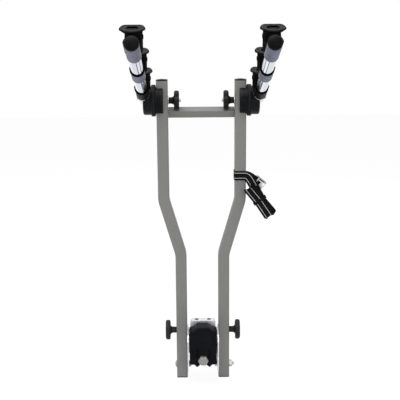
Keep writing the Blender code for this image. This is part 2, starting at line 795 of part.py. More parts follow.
def cradles(name, side, arm, strap):
    """Three cradles of the same mouldings; the outermost ring sits against the end cap."""
    moulded = {}
    for index, front in enumerate(CRADLE_FRONTS, start=1):
        middle = front - SLEEVE_LENGTH / 2
        reach = ARM_END - front if front == CRADLE_FRONTS[-1] else 0.0
        if reach not in moulded:
            moulded[reach] = (sleeve_mesh(reach), saddle_mesh(side, reach))
        sleeve, saddle = moulded[reach]
        keep(place(f"{name}_cradle_sleeve_{index}", sleeve, parent=arm, location=(0, -front, 0),
                   rotation=ALONG_ARM), GREY_SLEEVE)
        keep(place(f"{name}_cradle_saddle_{index}", saddle, parent=arm, location=(0, -middle, 0)),
             BLACK_PLASTIC)
        reach = NECK_WIDTH / 2 + STRAP_SIDE_GAP + STRAP_THICK / 2
        keep(place(f"{name}_rubber_strap_{index}", strap, parent=arm,
                   location=(-side * reach, -middle, PEG_HEIGHT), rotation=(ARM_RISE, 0, 0)),
             BLACK_RUBBER)


def sector_point(radius, degrees):
    """A point in (Y, Z) round the pivot; the angle leans from straight up towards -Y."""
    angle = math.radians(degrees)
    return (-radius * math.sin(angle), PIVOT_Z + radius * math.cos(angle))


def side_plate(name, side):
    """A side plate with its pivot hole and the arc slot of the lock bolt, laid out in (Y, Z)."""
    tilt = math.degrees(TILT_RANGE)
    outline = [(0.030, -0.036), (0.030, 0.060)]
    outline += [sector_point(SECTOR_RADIUS, angle) for angle in (-7, 0, 8, 16, 24, tilt + 6)]
    outline += [(-0.060, -0.020), (-0.030, -0.052), (0.0, -0.055), (0.022, -0.051)]
    half = M8 + RUN_GAP
    slot = [sector_point(LOCK_RADIUS + half, angle) for angle in range(0, round(tilt) + 1, 5)]
    end = sector_point(LOCK_RADIUS, tilt)
    slot += [(end[0] + half * math.cos(math.radians(turn)), end[1] + half * math.sin(math.radians(turn)))
             for turn in range(90 + round(tilt) + 30, 270 + round(tilt), 30)]
    slot += [sector_point(LOCK_RADIUS - half, angle) for angle in range(round(tilt), -1, -5)]
    start = sector_point(LOCK_RADIUS, 0)
    slot += [(start[0] + half * math.cos(math.radians(turn)), start[1] + half * math.sin(math.radians(turn)))
             for turn in range(-60, 90, 30)]
    hole = arc((0, PIVOT_Z), M10 + RUN_GAP, 0, 342, 19)
    return plate(name, [outline, slot, hole], PLATE_THICK,
                 location=(side * (PLATE_INNER + PLATE_THICK / 2), 0, 0),
                 rotation=(QUARTER, 0, QUARTER))


def bracket():
    """The plated bracket: two side plates, a back plate, the web behind the hood, the top flange."""
    body = side_plate("coupling_bracket", 1)
    weld_reach = PLATE_INNER + PLATE_THICK / 2
    notch = HOUSING_HALF + 2 * GAP
    wing = 0.046
    outline = [(weld_reach, 0.005), (weld_reach, wing), (WEB_HALF, wing + 0.004),
               (WEB_HALF, WEB_TOP - WEB_CHAMFER), (WEB_HALF - WEB_CHAMFER, WEB_TOP - 0.001)]
    outline += [(-x, z) for x, z in reversed(outline)]
    outline += [(-notch, 0.005), (-notch, HOUSING_TOP + GAP), (notch, HOUSING_TOP + GAP),
                (notch, 0.005)]
    web = plate("bracket_web", [outline], WEB_THICK, location=(0, WEB_Y + WEB_THICK / 2, 0),
                rotation=(QUARTER, 0, 0))
    front = WEB_Y + 0.001
    corner = WEB_CHAMFER + 0.001
    flange_outline = [(WEB_HALF - corner, front), (WEB_HALF - corner, front + 0.002),
                      (WEB_HALF - 0.001, front + 0.006), (WEB_HALF - 0.001, FLANGE_REAR - 0.006),
                      (WEB_HALF - 0.006, FLANGE_REAR)]
    flange_outline = flange_outline + [(-x, y) for x, y in reversed(flange_outline)]
    holes = [arc((side * FLANGE_HOLE_X, FLANGE_HOLE_Y), FLANGE_HOLE, 0, 342, 19) for side in (-1, 1)]
    flange = plate("bracket_flange", [flange_outline] + holes, WEB_THICK,
                   location=(0, 0, WEB_TOP - WEB_THICK / 2))
    back = block("bracket_back", (-weld_reach, BACK_Y, -0.020),
                 (weld_reach, BACK_Y + BACK_THICK - 0.0005, BACK_TOP))
    join(body, side_plate("bracket_left_plate", -1), web, flange, back)
    keep(body, ZINC)


def ball_cutter(name, radius, neck):
    """A sphere with a straight neck below it, the space of the tow ball."""
    start = math.asin(neck / radius) if neck < radius else QUARTER
    profile = [(0.0, radius)]
    turns = 8
    for index in range(1, turns + 1):
        angle = (math.pi - start) * index / turns
        profile.append((radius * math.sin(angle), radius * math.cos(angle)))
    profile += [(neck, -0.090), (0.0, -0.090)]
    return turned(name, profile, steps=24)


def housing():
    """The cast housing: socket from below, a channel for the jaw, a bridge that the bolt threads in."""
    body = block("clamp_housing", (-HOUSING_HALF, HOUSING_FRONT, HOUSING_BOTTOM),
                 (HOUSING_HALF, BACK_Y - GAP, HOUSING_TOP))
    bevel(body, 0.003)
    channel = JAW_HALF + GAP
    socket = ball_cutter("housing_socket", BALL_RADIUS + SOCKET_CLEAR, BALL_RADIUS + SOCKET_CLEAR)
    cut(body,
        block("jaw_channel", (-channel, HOUSING_FRONT + BRIDGE_THICK, HOUSING_BOTTOM - 0.01),
              (channel, 0.0, JAW_TOP + GAP)),
        socket,
        rod("bridge_bore", CLAMP_BOLT + RUN_GAP, -HOUSING_FRONT - BRIDGE_THICK - 0.002,
            -HOUSING_FRONT + 0.002, rotation=ALONG_ARM))
    keep(body, CAST_STEEL)


def jaw():
    """The sliding jaw: a hollow face that reaches under the ball's widest circle."""
    body = block("clamp_jaw", (-JAW_HALF, JAW_FRONT, JAW_BOTTOM), (JAW_HALF, JAW_REAR, JAW_TOP))
    bevel(body, 0.0015)
    cut(body,
        ball_cutter("jaw_face", BALL_RADIUS + SOCKET_CLEAR, NECK_CLEAR),
        rod("jaw_nose_hole", NOSE_RADIUS + RUN_GAP, -JAW_FRONT - NOSE_LENGTH - GAP,
            -JAW_FRONT + 0.002, segments=20, rotation=ALONG_ARM))
    keep(body, CAST_STEEL)


def clamp_bolt():
    """The clamp bolt: a nose in the jaw, the thread through the bridge, a collar and a hexagon head."""
    head_y = -CLAMP_HEAD_Y
    shoulder = -JAW_FRONT + GAP
    collar = 0.0025
    bolt = turned("clamp_bolt",
                  [(0.0, head_y + 0.001), (CLAMP_BOLT, head_y + 0.001), (CLAMP_BOLT, head_y),
                   (0.0125, head_y), (0.0125, head_y - collar), (CLAMP_BOLT, head_y - collar),
                   (CLAMP_BOLT, shoulder), (NOSE_RADIUS, shoulder),
                   (NOSE_RADIUS, shoulder - NOSE_LENGTH), (0.0, shoulder - NOSE_LENGTH)],
                  rotation=ALONG_ARM)
    head = hexagon("clamp_bolt_head", CLAMP_FLATS, head_y - 0.0002, head_y + CLAMP_HEAD,
                   rotation=(QUARTER, 0, 0))
    join(bolt, head)
    keep(bolt, ZINC)


def shoulder_outline(inset):
    """The hood's front outline without its dome, foot to foot; the inset shrinks it for the inside."""
    half = HOOD_HALF - inset
    shoulder = HOOD_SHOULDER - inset
    foot = LOBE_BOTTOM - (0.03 if inset else 0.0)
    points = [(half, foot), (half, shoulder - 0.009), (half - 0.0022, shoulder - 0.0035),
              (half - 0.0060, shoulder - 0.0008), (half - 0.0105, shoulder)]
    return points + [(-x, z) for x, z in reversed(points)]


def dome_outline(inset, foot):
    """The outline of the hood's centre band with its domed top."""
    half = HOOD_BAND_HALF - inset
    rise = HOOD_TOP - HOOD_SHOULDER + 0.004
    points = [(half, foot)]
    for index in range(9):
        turn = math.pi * index / 8
        points.append((half * math.cos(turn), HOOD_TOP - inset - rise + rise * math.sin(turn)))
    points.append((-half, foot))
    return points


def bevel_front(obj, front, width, segments):
    """Round only the edges in the front face of a plate that lies across Y."""
    bm = bmesh.new()
    bm.from_mesh(obj.data)
    bmesh.ops.dissolve_limit(bm, angle_limit=0.01, verts=bm.verts, edges=bm.edges)
    rim = [edge for edge in bm.edges if all(abs(vert.co.z - front) < 0.00001 for vert in edge.verts)
           and edge.calc_face_angle(0.0) > 1.0]
    bmesh.ops.bevel(bm, geom=rim, offset=width, offset_type="OFFSET", segments=segments,
                    profile=0.5, affect="EDGES", clamp_overlap=True)
    bm.to_mesh(obj.data)
    bm.free()


def front_plate(name, outline, front, rear):
    """A plate across Y between two depths, its local Z towards the front."""
    return plate(name, [outline], rear - front, location=(0, (front + rear) / 2, 0),
                 rotation=(QUARTER, 0, 0))


def hood():
    """The black hood: a shell with a domed, proud centre band and an arch for the clamp bolt."""
    rear = WEB_Y - 2 * GAP
    behind = rear + 0.006
    shell = front_plate("coupling_hood", shoulder_outline(0.0), HOOD_FRONT, behind)
    bevel_front(shell, (behind - HOOD_FRONT) / 2, HOOD_ROUND, 3)
    band_front = HOOD_FRONT - HOOD_BAND_PROUD
    band = front_plate("hood_band", dome_outline(0.0, LOBE_BOTTOM - 0.004), band_front, behind)
    bevel_front(band, (behind - band_front) / 2, 0.003, 2)
    hollow = front_plate("hood_hollow", shoulder_outline(HOOD_WALL), HOOD_FRONT + HOOD_WALL, 0.0)
    dome_hollow = front_plate("hood_dome_hollow", dome_outline(HOOD_WALL, LOBE_BOTTOM - 0.02),
                              HOOD_FRONT + HOOD_WALL, 0.0)
    arch_outline = [(ARCH_HALF, LOBE_BOTTOM - 0.01)]
    arch_outline += arc((0, ARCH_TOP - ARCH_HALF), ARCH_HALF, 0, 180, 10)
    arch_outline.append((-ARCH_HALF, LOBE_BOTTOM - 0.01))
    arch = front_plate("hood_arch", arch_outline, HOOD_FRONT - 0.01, HOOD_FRONT + 0.01)
    lobe = [(-0.0275, HOOD_BOTTOM), (-0.0245, LOBE_BOTTOM + 0.0022), (-0.0205, LOBE_BOTTOM + 0.0004),
            (-0.0165, LOBE_BOTTOM + 0.0012), (-0.0140, LOBE_BOTTOM + 0.004)]
    line = [(-0.06, HOOD_BOTTOM)] + lobe
    foot_outline = line + [(-x, z) for x, z in reversed(line)] + [(0.06, -0.06), (-0.06, -0.06)]
    foot = front_plate("hood_foot_trim", foot_outline, HOOD_FRONT - 0.02, 0.02)
    far = 2 * HOOD_TOP
    trim = block("hood_rear_trim", (-far, rear, -far), (far, far, far))
    join(shell, band)
    cut(shell, hollow, dome_hollow, arch, foot, trim)
    baked(shell)
    smooth(shell.data, 30.0)
    keep(shell, BLACK_PLASTIC)


def pivot_bolt(name, side):
    """A pivot bolt through the upright's foot and the bracket: a domed head outside on the left, a
    hexagon nut with the bolt's end standing out of it on the right.
    """
    inner = HOUSING_HALF + 0.001
    plate_face = PLATE_INNER - GAP
    outer_face = FOOT_HALF + TUBE_SIDE / 2 + GAP
    if side < 0:
        top = outer_face + PIVOT_HEAD
        outside = [(0.0, top), (PIVOT_HEAD_RADIUS * 0.62, top - 0.0003),
                   (PIVOT_HEAD_RADIUS * 0.92, top - 0.0014), (PIVOT_HEAD_RADIUS, outer_face),
                   (M10, outer_face)]
    else:
        top = outer_face + OUTER_NUT_THICK + PIVOT_TIP
        outside = [(0.0, top), (M10 - 0.0008, top), (M10, top - 0.0008)]
    bolt = turned(name + "_pivot_bolt",
                  outside + [(M10, plate_face), (PIVOT_NUT_RADIUS, plate_face),
                             (PIVOT_NUT_RADIUS, inner), (0.0, inner)], steps=16,
                  location=(0, 0, PIVOT_Z), rotation=outward(side))
    if side > 0:
        join(bolt, hexagon(name + "_pivot_nut", OUTER_NUT_FLATS, outer_face,
                           outer_face + OUTER_NUT_THICK, location=(0, 0, PIVOT_Z),
                           rotation=outward(side)))
    keep(bolt, ZINC)


def lock_bolt(name, side):
    """A lock bolt: its low head inside the bracket, its shank in the arc slot and the knob."""
    head_outer = PLATE_INNER - GAP
    tip = lock_knob_seat() + LOCK_STEM + KNOB_HEAD - 0.0075
    bolt = turned(name + "_lock_bolt",
                  [(0.0, tip), (M8 - 0.0008, tip), (M8, tip - 0.0008), (M8, head_outer),
                   (LOCK_HEAD_RADIUS, head_outer), (LOCK_HEAD_RADIUS, head_outer - LOCK_HEAD_THICK),
                   (0.0, head_outer - LOCK_HEAD_THICK)], steps=12,
                  location=(0, 0, PIVOT_Z + LOCK_RADIUS), rotation=outward(side))
    keep(bolt, ZINC)


def lock_knob_seat():
    """Where the lower knobs start, from the middle plane; they reach outwards from there."""
    return FOOT_HALF + TUBE_SIDE / 2 + GAP


def ribbon(name, centres, acrosses, width, thickness):
    """A flat band along stations, each with its centre and the direction across the band."""
    bm = bmesh.new()
    rings = []
    last = len(centres) - 1
    for index, (centre, across) in enumerate(zip(centres, acrosses)):
        ahead = centres[min(index + 1, last)] - centres[max(index - 1, 0)]
        across = (across - ahead * across.dot(ahead) / ahead.length_squared).normalized()
        normal = ahead.cross(across).normalized()
        ring = []
        for u, v in ((-1, -1), (1, -1), (1, 1), (-1, 1)):
            ring.append(bm.verts.new(centre + across * (u * width / 2) + normal * (v * thickness / 2)))
        rings.append(ring)
    for first, second in zip(rings, rings[1:]):
        for index in range(4):
            after = (index + 1) % 4
            bm.faces.new((first[index], first[after], second[after], second[index]))
    bm.faces.new(rings[0])
    bm.faces.new(rings[-1])
    bmesh.ops.recalc_face_normals(bm, faces=bm.faces)
    mesh = mesh_from(bm, name)
    smooth(mesh)
    return place(name, mesh)


def tilted(slope):
    """The direction across a ribbon that falls towards +X with a slope."""
    return Vector((slope, 0, 1)).normalized()


def wrap_stations():
    """The ribbon's way from the buckle behind the right upright and round to its front."""
    offset = TUBE_SIDE / 2 + WRAP_GAP + WEB_THICKNESS / 2
    radius = TUBE_CORNER + WRAP_GAP + WEB_THICKNESS / 2
    inner = offset - radius
    along = Vector((math.cos(BUCKLE_LEAN), 0, -math.sin(BUCKLE_LEAN)))
    buckle_at = Vector((BUCKLE_X, BUCKLE_Y, BUCKLE_Z))
    across = tilted(math.tan(BUCKLE_LEAN))
    centres = [buckle_at + along * BUCKLE_GRIP, buckle_at - along * 0.0085, buckle_at - along * 0.012]
    acrosses = [across, across, across]
    lead = centres[-1]
    first = Vector((TOP_HALF + 0.0180, 0.0085, WRAP_Z - 0.0006))
    for share in (0.4, 0.75):
        blend = share * share * (3 - 2 * share)
        point = lead.lerp(first, share)
        point.z += (first.z - lead.z) * (blend - share) * 0.8 + 0.0016 * math.sin(math.pi * share)
        centres.append(point)
        acrosses.append(tilted(math.tan(BUCKLE_LEAN) * (1 - share)))
    plan = arc((inner, inner), radius, 15, 90, 3) + arc((-inner, inner), radius, 90, 180, 3)
    plan += arc((-inner, -inner), radius, 180, 270, 3) + [(inner, -offset)]
    for x, y in plan:
        centres.append(Vector((TOP_HALF + x, y, WRAP_Z)))
        acrosses.append(Vector((0, 0, 1)))
    return centres, acrosses


def lead_stations():
    """The front of the ribbon turning down from the upright into the first folded run."""
    start = Vector((TOP_HALF + TUBE_SIDE / 2 - 0.001, 0, WRAP_Z))
    waist = run_point(0, 0.4)
    drop = Vector((1.0, 0, -1.15)).normalized()
    handle = 0.020
    centres = []
    acrosses = []
    for step in range(1, 7):
        share = step / 7
        rest = 1 - share
        points = (start, start + Vector((handle, 0, -0.003)), waist - drop * handle, waist)
        weights = (rest ** 3, 3 * rest * rest * share, 3 * rest * share * share, share ** 3)
        centre = sum((point * weight for point, weight in zip(points, weights)), Vector())
        offset = TUBE_SIDE / 2 + WRAP_GAP + WEB_THICKNESS / 2
        centre.y = -offset + (run_depth(0, 0.4) + offset) * share * share * (3 - 2 * share)
        slopes = ((points[1] - points[0]) * (rest * rest) + (points[2] - points[1]) * (2 * rest * share)
                  + (points[3] - points[2]) * (share * share))
        centres.append(centre)
        acrosses.append(Vector((-slopes.z, 0, slopes.x)).normalized())
    return centres, acrosses


def mix(first, second, share):
    return tuple(a + (b - a) * share for a, b in zip(first, second))


def hank_run(run):
    """The top, waist and foot of a run of the folded spare webbing, in (X, Z)."""
    share = run / (HANK_RUNS - 1)
    return [mix(back, front, share) for back, front in zip(HANK_BACK_RUN, HANK_FRONT_RUN)]


def run_point(run, share):
    """A point of a run, its top at 0 and its foot at 1, with its corner at the waist rounded."""
    top, waist, foot = (Vector((TOP_HALF + x, 0, z)) for x, z in hank_run(run))
    upper = waist + (top - waist).normalized() * 0.012
    lower = waist + (foot - waist).normalized() * 0.012
    if share < 0.4:
        return top.lerp(upper, share / 0.4)
    if share > 0.6:
        return lower.lerp(foot, (share - 0.6) / 0.4)
    turn = (share - 0.4) / 0.2
    return upper.lerp(waist, turn).lerp(waist.lerp(lower, turn), turn)


def run_depth(run, share):
    """How far to the front a run lies; the tie squeezes the runs together at the waist."""
    middle = (HANK_RUNS - 1) / 2
    waist = math.exp(-((share - 0.5) / 0.2) ** 2)
    return HANK_BACK_Y - HANK_PITCH * (middle + (run - middle) * (1 - HANK_SQUEEZE * waist))


def hank_stations():
    """The spare webbing folded to and fro in layers, each layer nearer the front, fanned a little."""
    centres = []
    acrosses = []
    shares = (0.0, 0.2, 0.4, 0.5, 0.6, 0.8, 1.0)
    fold_steps = 4
    for run in range(HANK_RUNS):
        down = run % 2 == 0
        for share in shares[2 if run == 0 else 0:] if down else reversed(shares):
            centre = run_point(run, share)
            centre.y = run_depth(run, share)
            ahead = run_point(run, min(share + 0.05, 1.0)) - run_point(run, max(share - 0.05, 0.0))
            centres.append(centre)
            acrosses.append(Vector((-ahead.z, 0, ahead.x)).normalized())
        if run == HANK_RUNS - 1:
            break
        end = 1.0 if down else 0.0
        heading = (centres[-1] - centres[-2]).normalized()
        heading.y = 0.0
        start = centres[-1].copy()
        finish = run_point(run + 1, end)
        finish.y = run_depth(run + 1, end)
        across = acrosses[-1]
        for step in range(1, fold_steps):
            angle = math.pi * step / fold_steps
            centre = start.lerp(finish, (1 - math.cos(angle)) / 2)
            centres.append(centre + heading * (HANK_PITCH / 2 * math.sin(angle)))
            acrosses.append(across)
    return centres, acrosses


def least_gap(centres, thickness, near=9):
    """The least free space between stations of a ribbon that lie some way apart along it."""
    least = math.inf
    for first, a in enumerate(centres):
        for b in centres[first + near:]:
            least = min(least, (a - b).length - thickness)
    return least


def webbing():
    centres, acrosses = wrap_stations()
    for more_centres, more_acrosses in (lead_stations(), hank_stations()):
        centres += more_centres
        acrosses += more_acrosses
    keep(ribbon("webbing_strap", centres, acrosses, WEB_WIDTH, WEB_THICKNESS), WEBBING)
    print("least gap of the webbing to itself, mm:",
          round(least_gap(centres, WEB_THICKNESS, near=8) * 1000, 2))


def hank_tie():
    """An elastic band round the waist of the folded webbing."""
    back = run_point(0, 0.5)
    front = run_point(HANK_RUNS - 1, 0.5)
    centre = back.lerp(front, 0.5)
    ahead = run_point(HANK_RUNS // 2, 0.55) - run_point(HANK_RUNS // 2, 0.45)
    angle = math.atan2(ahead.z, ahead.x)
    depth = run_depth(0, 0.5) - run_depth(HANK_RUNS - 1, 0.5) + WEB_THICKNESS + 0.0007
    width = WEB_WIDTH + (back - front).length + 0.0025
    hole = rounded_rectangle(width, depth, 0.0012, steps=2)
    rim = rounded_rectangle(width + 2 * TIE_WALL, depth + 2 * TIE_WALL, 0.0012 + TIE_WALL, steps=2)
    middle_y = (run_depth(0, 0.5) + run_depth(HANK_RUNS - 1, 0.5)) / 2
    tie = plate("hank_tie", [rim, hole], TIE_WIDTH, location=(centre.x, middle_y, centre.z),
                rotation=(0, QUARTER - angle, 0))
    keep(tie, BLACK_RUBBER)


def buckle():
    """The cam buckle: a frame with two cheeks behind the ribbon, a lever on a pin in front of it."""
    frame = place("buckle_frame_axis", None, location=(BUCKLE_X, BUCKLE_Y, BUCKLE_Z),
                  rotation=(0, BUCKLE_LEAN, 0))
    file_in(frame, PARTS)
    half_across = WEB_WIDTH / 2 + 0.0035
    back = WEB_THICKNESS / 2 + GAP + SHEET / 2
    base = plate("buckle_frame", [rounded_rectangle(0.021, 2 * half_across, 0.003, 2)], SHEET,
                 parent=frame, location=(0.003, back, 0), rotation=(QUARTER, 0, 0))
    for sign in (-1, 1):
        low, high = sorted((sign * half_across, sign * (half_across - SHEET)))
        cheek = block("buckle_cheek", (-0.006, -0.0062, low), (0.009, back + SHEET / 4, high),
                      parent=frame)
        join(base, cheek)
    keep(base, ZINC)

    pin = 0.0021
    pin_y = -(WEB_THICKNESS / 2 + GAP + pin)
    reach = half_across - SHEET - GAP
    lever = rod("buckle_lever", pin, -reach, reach, segments=12, parent=frame,
                location=(0.003, pin_y, 0))
    tongue = plate("lever_tongue", [rounded_rectangle(0.017, WEB_WIDTH - 0.002, 0.003, 2)], SHEET,
                   parent=frame, location=(0.0115, pin_y - 0.0022, 0), rotation=(QUARTER, 0, -0.15))
    join(lever, tongue)
    keep(lever, ZINC)


def build():
    crossbar()
    through_knob = knob_mesh("joint_knob", JOINT_STEM, through=True)
    blind_knob = knob_mesh("lock_knob", LOCK_STEM, through=False)
    strap = strap_mesh()
    for name, side in SIDES.items():
        upright(name, side)
        tube_plug(name + "_top_cap", side * TOP_HALF, TOP_Z, 1, CAP_PEAK)
        tube_plug(name + "_foot_plug", side * FOOT_HALF, FOOT_Z, -1, 0.0)
        clutch_base(name, side)
        friction_disc(name, side)
        joint_bolt(name, side)
        washer(name + "_joint_washer", side, knob_seat() + GAP, HUB_Y, HUB_Z)
        keep(place(name + "_joint_knob", through_knob, location=(side * knob_seat(), HUB_Y, HUB_Z),
                   rotation=outward(-side)), BLACK_PLASTIC)
        arm = arm_frame(name, side)
        arm_socket(name, side, arm)
        arm_tube(name, side, arm)
        arm_bolt(name, side, arm)
        end_cap(name, arm)
        cradles(name, side, arm, strap)
        pivot_bolt(name, side)
        lock_bolt(name, side)
        keep(place(name + "_lock_knob", blind_knob,
                   location=(side * lock_knob_seat(), 0, PIVOT_Z + LOCK_RADIUS),
                   rotation=outward(side)), BLACK_PLASTIC)
    bracket()
    housing()
    jaw()
    clamp_bolt()
    hood()
    webbing()
    hank_tie()
    buckle()


build()
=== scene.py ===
"""Looks of the tow-ball bike rack, in metres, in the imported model's frame: X across, -Y to the front."""
import functools
import json
import math

import bmesh
import bpy
from mathutils import Matrix, Vector

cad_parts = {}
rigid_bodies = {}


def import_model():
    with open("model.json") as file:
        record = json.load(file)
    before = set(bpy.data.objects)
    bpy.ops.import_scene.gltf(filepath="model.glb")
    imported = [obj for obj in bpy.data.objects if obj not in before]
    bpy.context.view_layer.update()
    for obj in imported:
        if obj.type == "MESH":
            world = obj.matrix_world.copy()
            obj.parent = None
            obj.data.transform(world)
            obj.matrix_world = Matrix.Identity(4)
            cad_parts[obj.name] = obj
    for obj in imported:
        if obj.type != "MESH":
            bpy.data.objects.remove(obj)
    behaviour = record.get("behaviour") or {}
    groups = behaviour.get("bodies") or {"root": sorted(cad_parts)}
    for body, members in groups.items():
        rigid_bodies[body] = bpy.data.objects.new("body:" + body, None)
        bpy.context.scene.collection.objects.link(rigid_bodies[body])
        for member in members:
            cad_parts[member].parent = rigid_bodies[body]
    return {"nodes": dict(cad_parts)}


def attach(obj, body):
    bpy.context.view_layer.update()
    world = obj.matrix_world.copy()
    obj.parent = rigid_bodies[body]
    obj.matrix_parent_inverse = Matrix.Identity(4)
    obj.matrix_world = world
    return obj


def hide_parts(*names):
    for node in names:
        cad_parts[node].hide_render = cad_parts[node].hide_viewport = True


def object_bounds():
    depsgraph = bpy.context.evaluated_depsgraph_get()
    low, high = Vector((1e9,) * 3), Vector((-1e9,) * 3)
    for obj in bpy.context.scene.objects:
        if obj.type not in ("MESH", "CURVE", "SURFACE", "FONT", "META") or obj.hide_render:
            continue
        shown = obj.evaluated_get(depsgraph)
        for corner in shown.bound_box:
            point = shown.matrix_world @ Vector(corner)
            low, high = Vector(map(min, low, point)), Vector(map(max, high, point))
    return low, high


for thing in list(bpy.data.objects):
    bpy.data.objects.remove(thing, do_unlink=True)
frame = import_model()
CAD_BOX = [list(corner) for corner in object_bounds()]
SCENE = bpy.context.scene
QUARTER = math.pi / 2
TO_FRONT = Matrix.Rotation(QUARTER, 4, "X")
SIDES = {"left": -1, "right": 1}

# Sizes, most of them shared with the solids
GAP = 0.0003
TUBE_SIDE, TUBE_WALL, TUBE_CORNER = 0.030, 0.002, 0.004
TOP_HALF, FOOT_HALF = 0.102, 0.058
FOOT_Z, LOWER_BEND_Z, UPPER_BEND_Z, TOP_Z, BEND_RADIUS = -0.073, 0.283, 0.434, 0.7498, 0.070
CAP_THICK, ROOF_RISE = 0.0022, 0.0014
PLUG_SIDE, PLUG_CORNER, PLUG_LENGTH, PLUG_DEPTH = 0.0253, 0.002, 0.012, 0.0058
BAR_SIDE, BAR_WALL, BAR_CORNER = 0.0219, 0.0018, 0.0025
BAR_Y, BAR_Z, BAR_TURN = 0.0150, 0.6657, math.radians(27)
HUB_Y, HUB_Z = -0.004, 0.6988
BASE_START, BASE_LENGTH, BASE_FLANGE = 0.0992, 0.0225, 0.0034
FLANGE_RADIUS, BASE_RADIUS, SOCKET_RADIUS = 0.0414, 0.0343, 0.0372
SOCKET_LENGTH, SOCKET_FLANGE, HEAD_RECESS, DISC_THICK = 0.0267, 0.0058, 0.0082, 0.0016
DISC_START = BASE_START + BASE_LENGTH + GAP
SOCKET_START = DISC_START + DISC_THICK + GAP
BOLT_RADIUS, BOLT_BORE, BOLT_TIP = 0.004, 0.0043, 0.0045
WASHER_RADIUS, WASHER_THICK = 0.011, 0.0016
KNOB_SEAT = TOP_HALF - TUBE_SIDE / 2 - 2 * GAP - WASHER_THICK
LOCK_SEAT = FOOT_HALF + TUBE_SIDE / 2 + GAP
JOINT_STEM, LOCK_STEM, KNOB_HEAD, KNOB_RADIUS, KNOB_LOBES = 0.0140, 0.0163, 0.0130, 0.0270, 6
LOCK_Z, PIVOT_Z = 0.062, -0.040
ARM_X, ARM_RISE = 0.1482, math.radians(21.2)
ARM_RADIUS, ARM_WALL, ARM_START, ARM_END = 0.014, 0.0015, 0.020, 0.436
CAP_RADIUS, CAP_DOME, SLEEVE_PROUD = 0.0163, 0.0146, 0.0040
CRADLE_FRONTS = (0.114, 0.264, 0.414)
SLEEVE_LENGTH, SLEEVE_WALL, RING_RADIUS, RING_WIDTH, SLIM_RING = 0.054, 0.002, 0.0168, 0.0042, 0.0012
SHELL_WALL, SHELL_EDGE = 0.0022, 0.0030
DISH_RADIUS, DISH_HEIGHT, DISH_SHIFT, DISH_OUT = 0.0285, 0.0565, 0.0035, 0.0028
DISH_TILT, DISH_FLAT, DISH_THICK, DISH_RIM = math.radians(40), 0.0190, 0.0125, 0.0030
TROUGH_RADIUS, TROUGH_SINK = 0.060, 0.0018
NECK_WIDTH, NECK_FRONT, NECK_REAR, NECK_FOOT, PEG_HEIGHT = 0.035, -0.015, 0.018, 0.008, 0.034
STRAP_BODY, STRAP_HALF, STRAP_SPAN, STRAP_NEAR = 0.0026, 0.0062, 0.0215, 0.0004
STRAP_WAIST, STRAP_EYE = 0.0042, 0.0039
SLOT_NEAR, SLOT_FAR, SLOT_NEAR_Y, SLOT_FAR_Y = 0.0155, 0.0215, -0.0032, 0.0094
HOOD_HALF, HOOD_FRONT, HOOD_SHOULDER, HOOD_TOP = 0.0373, -0.064, 0.082, 0.0915
HOOD_REAR, HOOD_WALL, BAND_HALF, BAND_PROUD, LOBE_BOTTOM = -0.0246, 0.003, 0.0245, 0.0022, -0.021
# Where the painted shade of the bracket's two flange holes is centred, and how far it reaches
HOLE_AT, HOLE_SHADE_REACH = (0.017, -0.012, 0.0), 0.0056
JOINT_FLATS, JOINT_HEX, SCREW_FLATS, SCREW_HEX = 0.013, 0.0053, 0.024, 0.010
SCREW_SEAT, SCREW_RADIUS, SCREW_TOP, SCREW_BOTTOM, SCREW_TIP = 0.066, 0.008, 0.0634, 0.0363, 0.0313
LUG_OUT, LUG_IN, LUG_Y, LUG_Z, SLOT_DEPTH = 0.0026, 0.0063, (-0.0053, 0.0041), (0.0407, 0.0477), 0.0058
WEAVE_ALONG, WEAVE_ACROSS = 0.0016, 0.0011
LINES_AT, LINE_HALF, LINES_START = (-0.0065, 0.0070), 0.00062, 0.050
WEB_WIDTH, WEB_THICKNESS, WRAP_Z, WRAP_GAP, WRAP_DROOP = 0.025, 0.0015, 0.500, 0.0004, 0.0045
BUCKLE_AT, BUCKLE_LEAN = Vector((0.1500, -0.0100, 0.4775)), math.radians(40)
BUCKLE_SHEET, BUCKLE_LENGTH, BUCKLE_BESIDE, ROLLER_RADIUS = 0.0016, 0.0335, 0.0035, 0.0019
HANK_RUNS, HANK_PITCH, HANK_BACK_Y, HANK_SQUEEZE = 7, 0.0026, -0.0225, 0.22
HANK_BACK_RUN = ((0.0412, 0.4655), (0.0530, 0.4385), (0.0830, 0.4020))
HANK_FRONT_RUN = ((0.0198, 0.4685), (0.0474, 0.4345), (0.0742, 0.3942))


# Camera and stage
CAMERA_AT, CAMERA_TURN = (-0.0255, -2.090, 0.914), (0.85, 13, -0.36)
LIGHTS = (("top_soft", (-0.3, -0.5, 2.7), (0, 0, 0.5), (2.2, 2.2), 56),
          ("front_fill", (0.9, -2.6, 1.2), (0, 0, 0.4), (1.6, 1.8), 14),
          ("left_side", (-2.2, -0.6, 0.9), (0, 0, 0.4), (1.2, 1.8), 12),
          ("back_rim", (0.8, 2.0, 1.6), (0, 0, 0.4), (1.6, 1.6), 18))


def look_matrix(yaw, pitch, roll):
    """The camera's axes: right, up and back, from a view that looks along +Y."""
    ahead = Vector((math.sin(yaw) * math.cos(pitch), math.cos(yaw) * math.cos(pitch), -math.sin(pitch)))
    right = Vector((math.cos(yaw), -math.sin(yaw), 0))
    up = right.cross(ahead)
    right, up = (right * math.cos(roll) + up * math.sin(roll), up * math.cos(roll) - right * math.sin(roll))
    return Matrix((right, up, -ahead)).transposed()


def make_camera():
    data = bpy.data.cameras.new("photo_camera")
    data.sensor_fit = "HORIZONTAL"
    data.sensor_width = 36
    data.lens = 72
    data.shift_x = -0.01
    data.clip_start = 0.05
    data.clip_end = 50
    turn = look_matrix(*[math.radians(angle) for angle in CAMERA_TURN])
    SCENE.camera = place("photo_camera", data, Matrix.Translation(CAMERA_AT) @ turn.to_4x4())


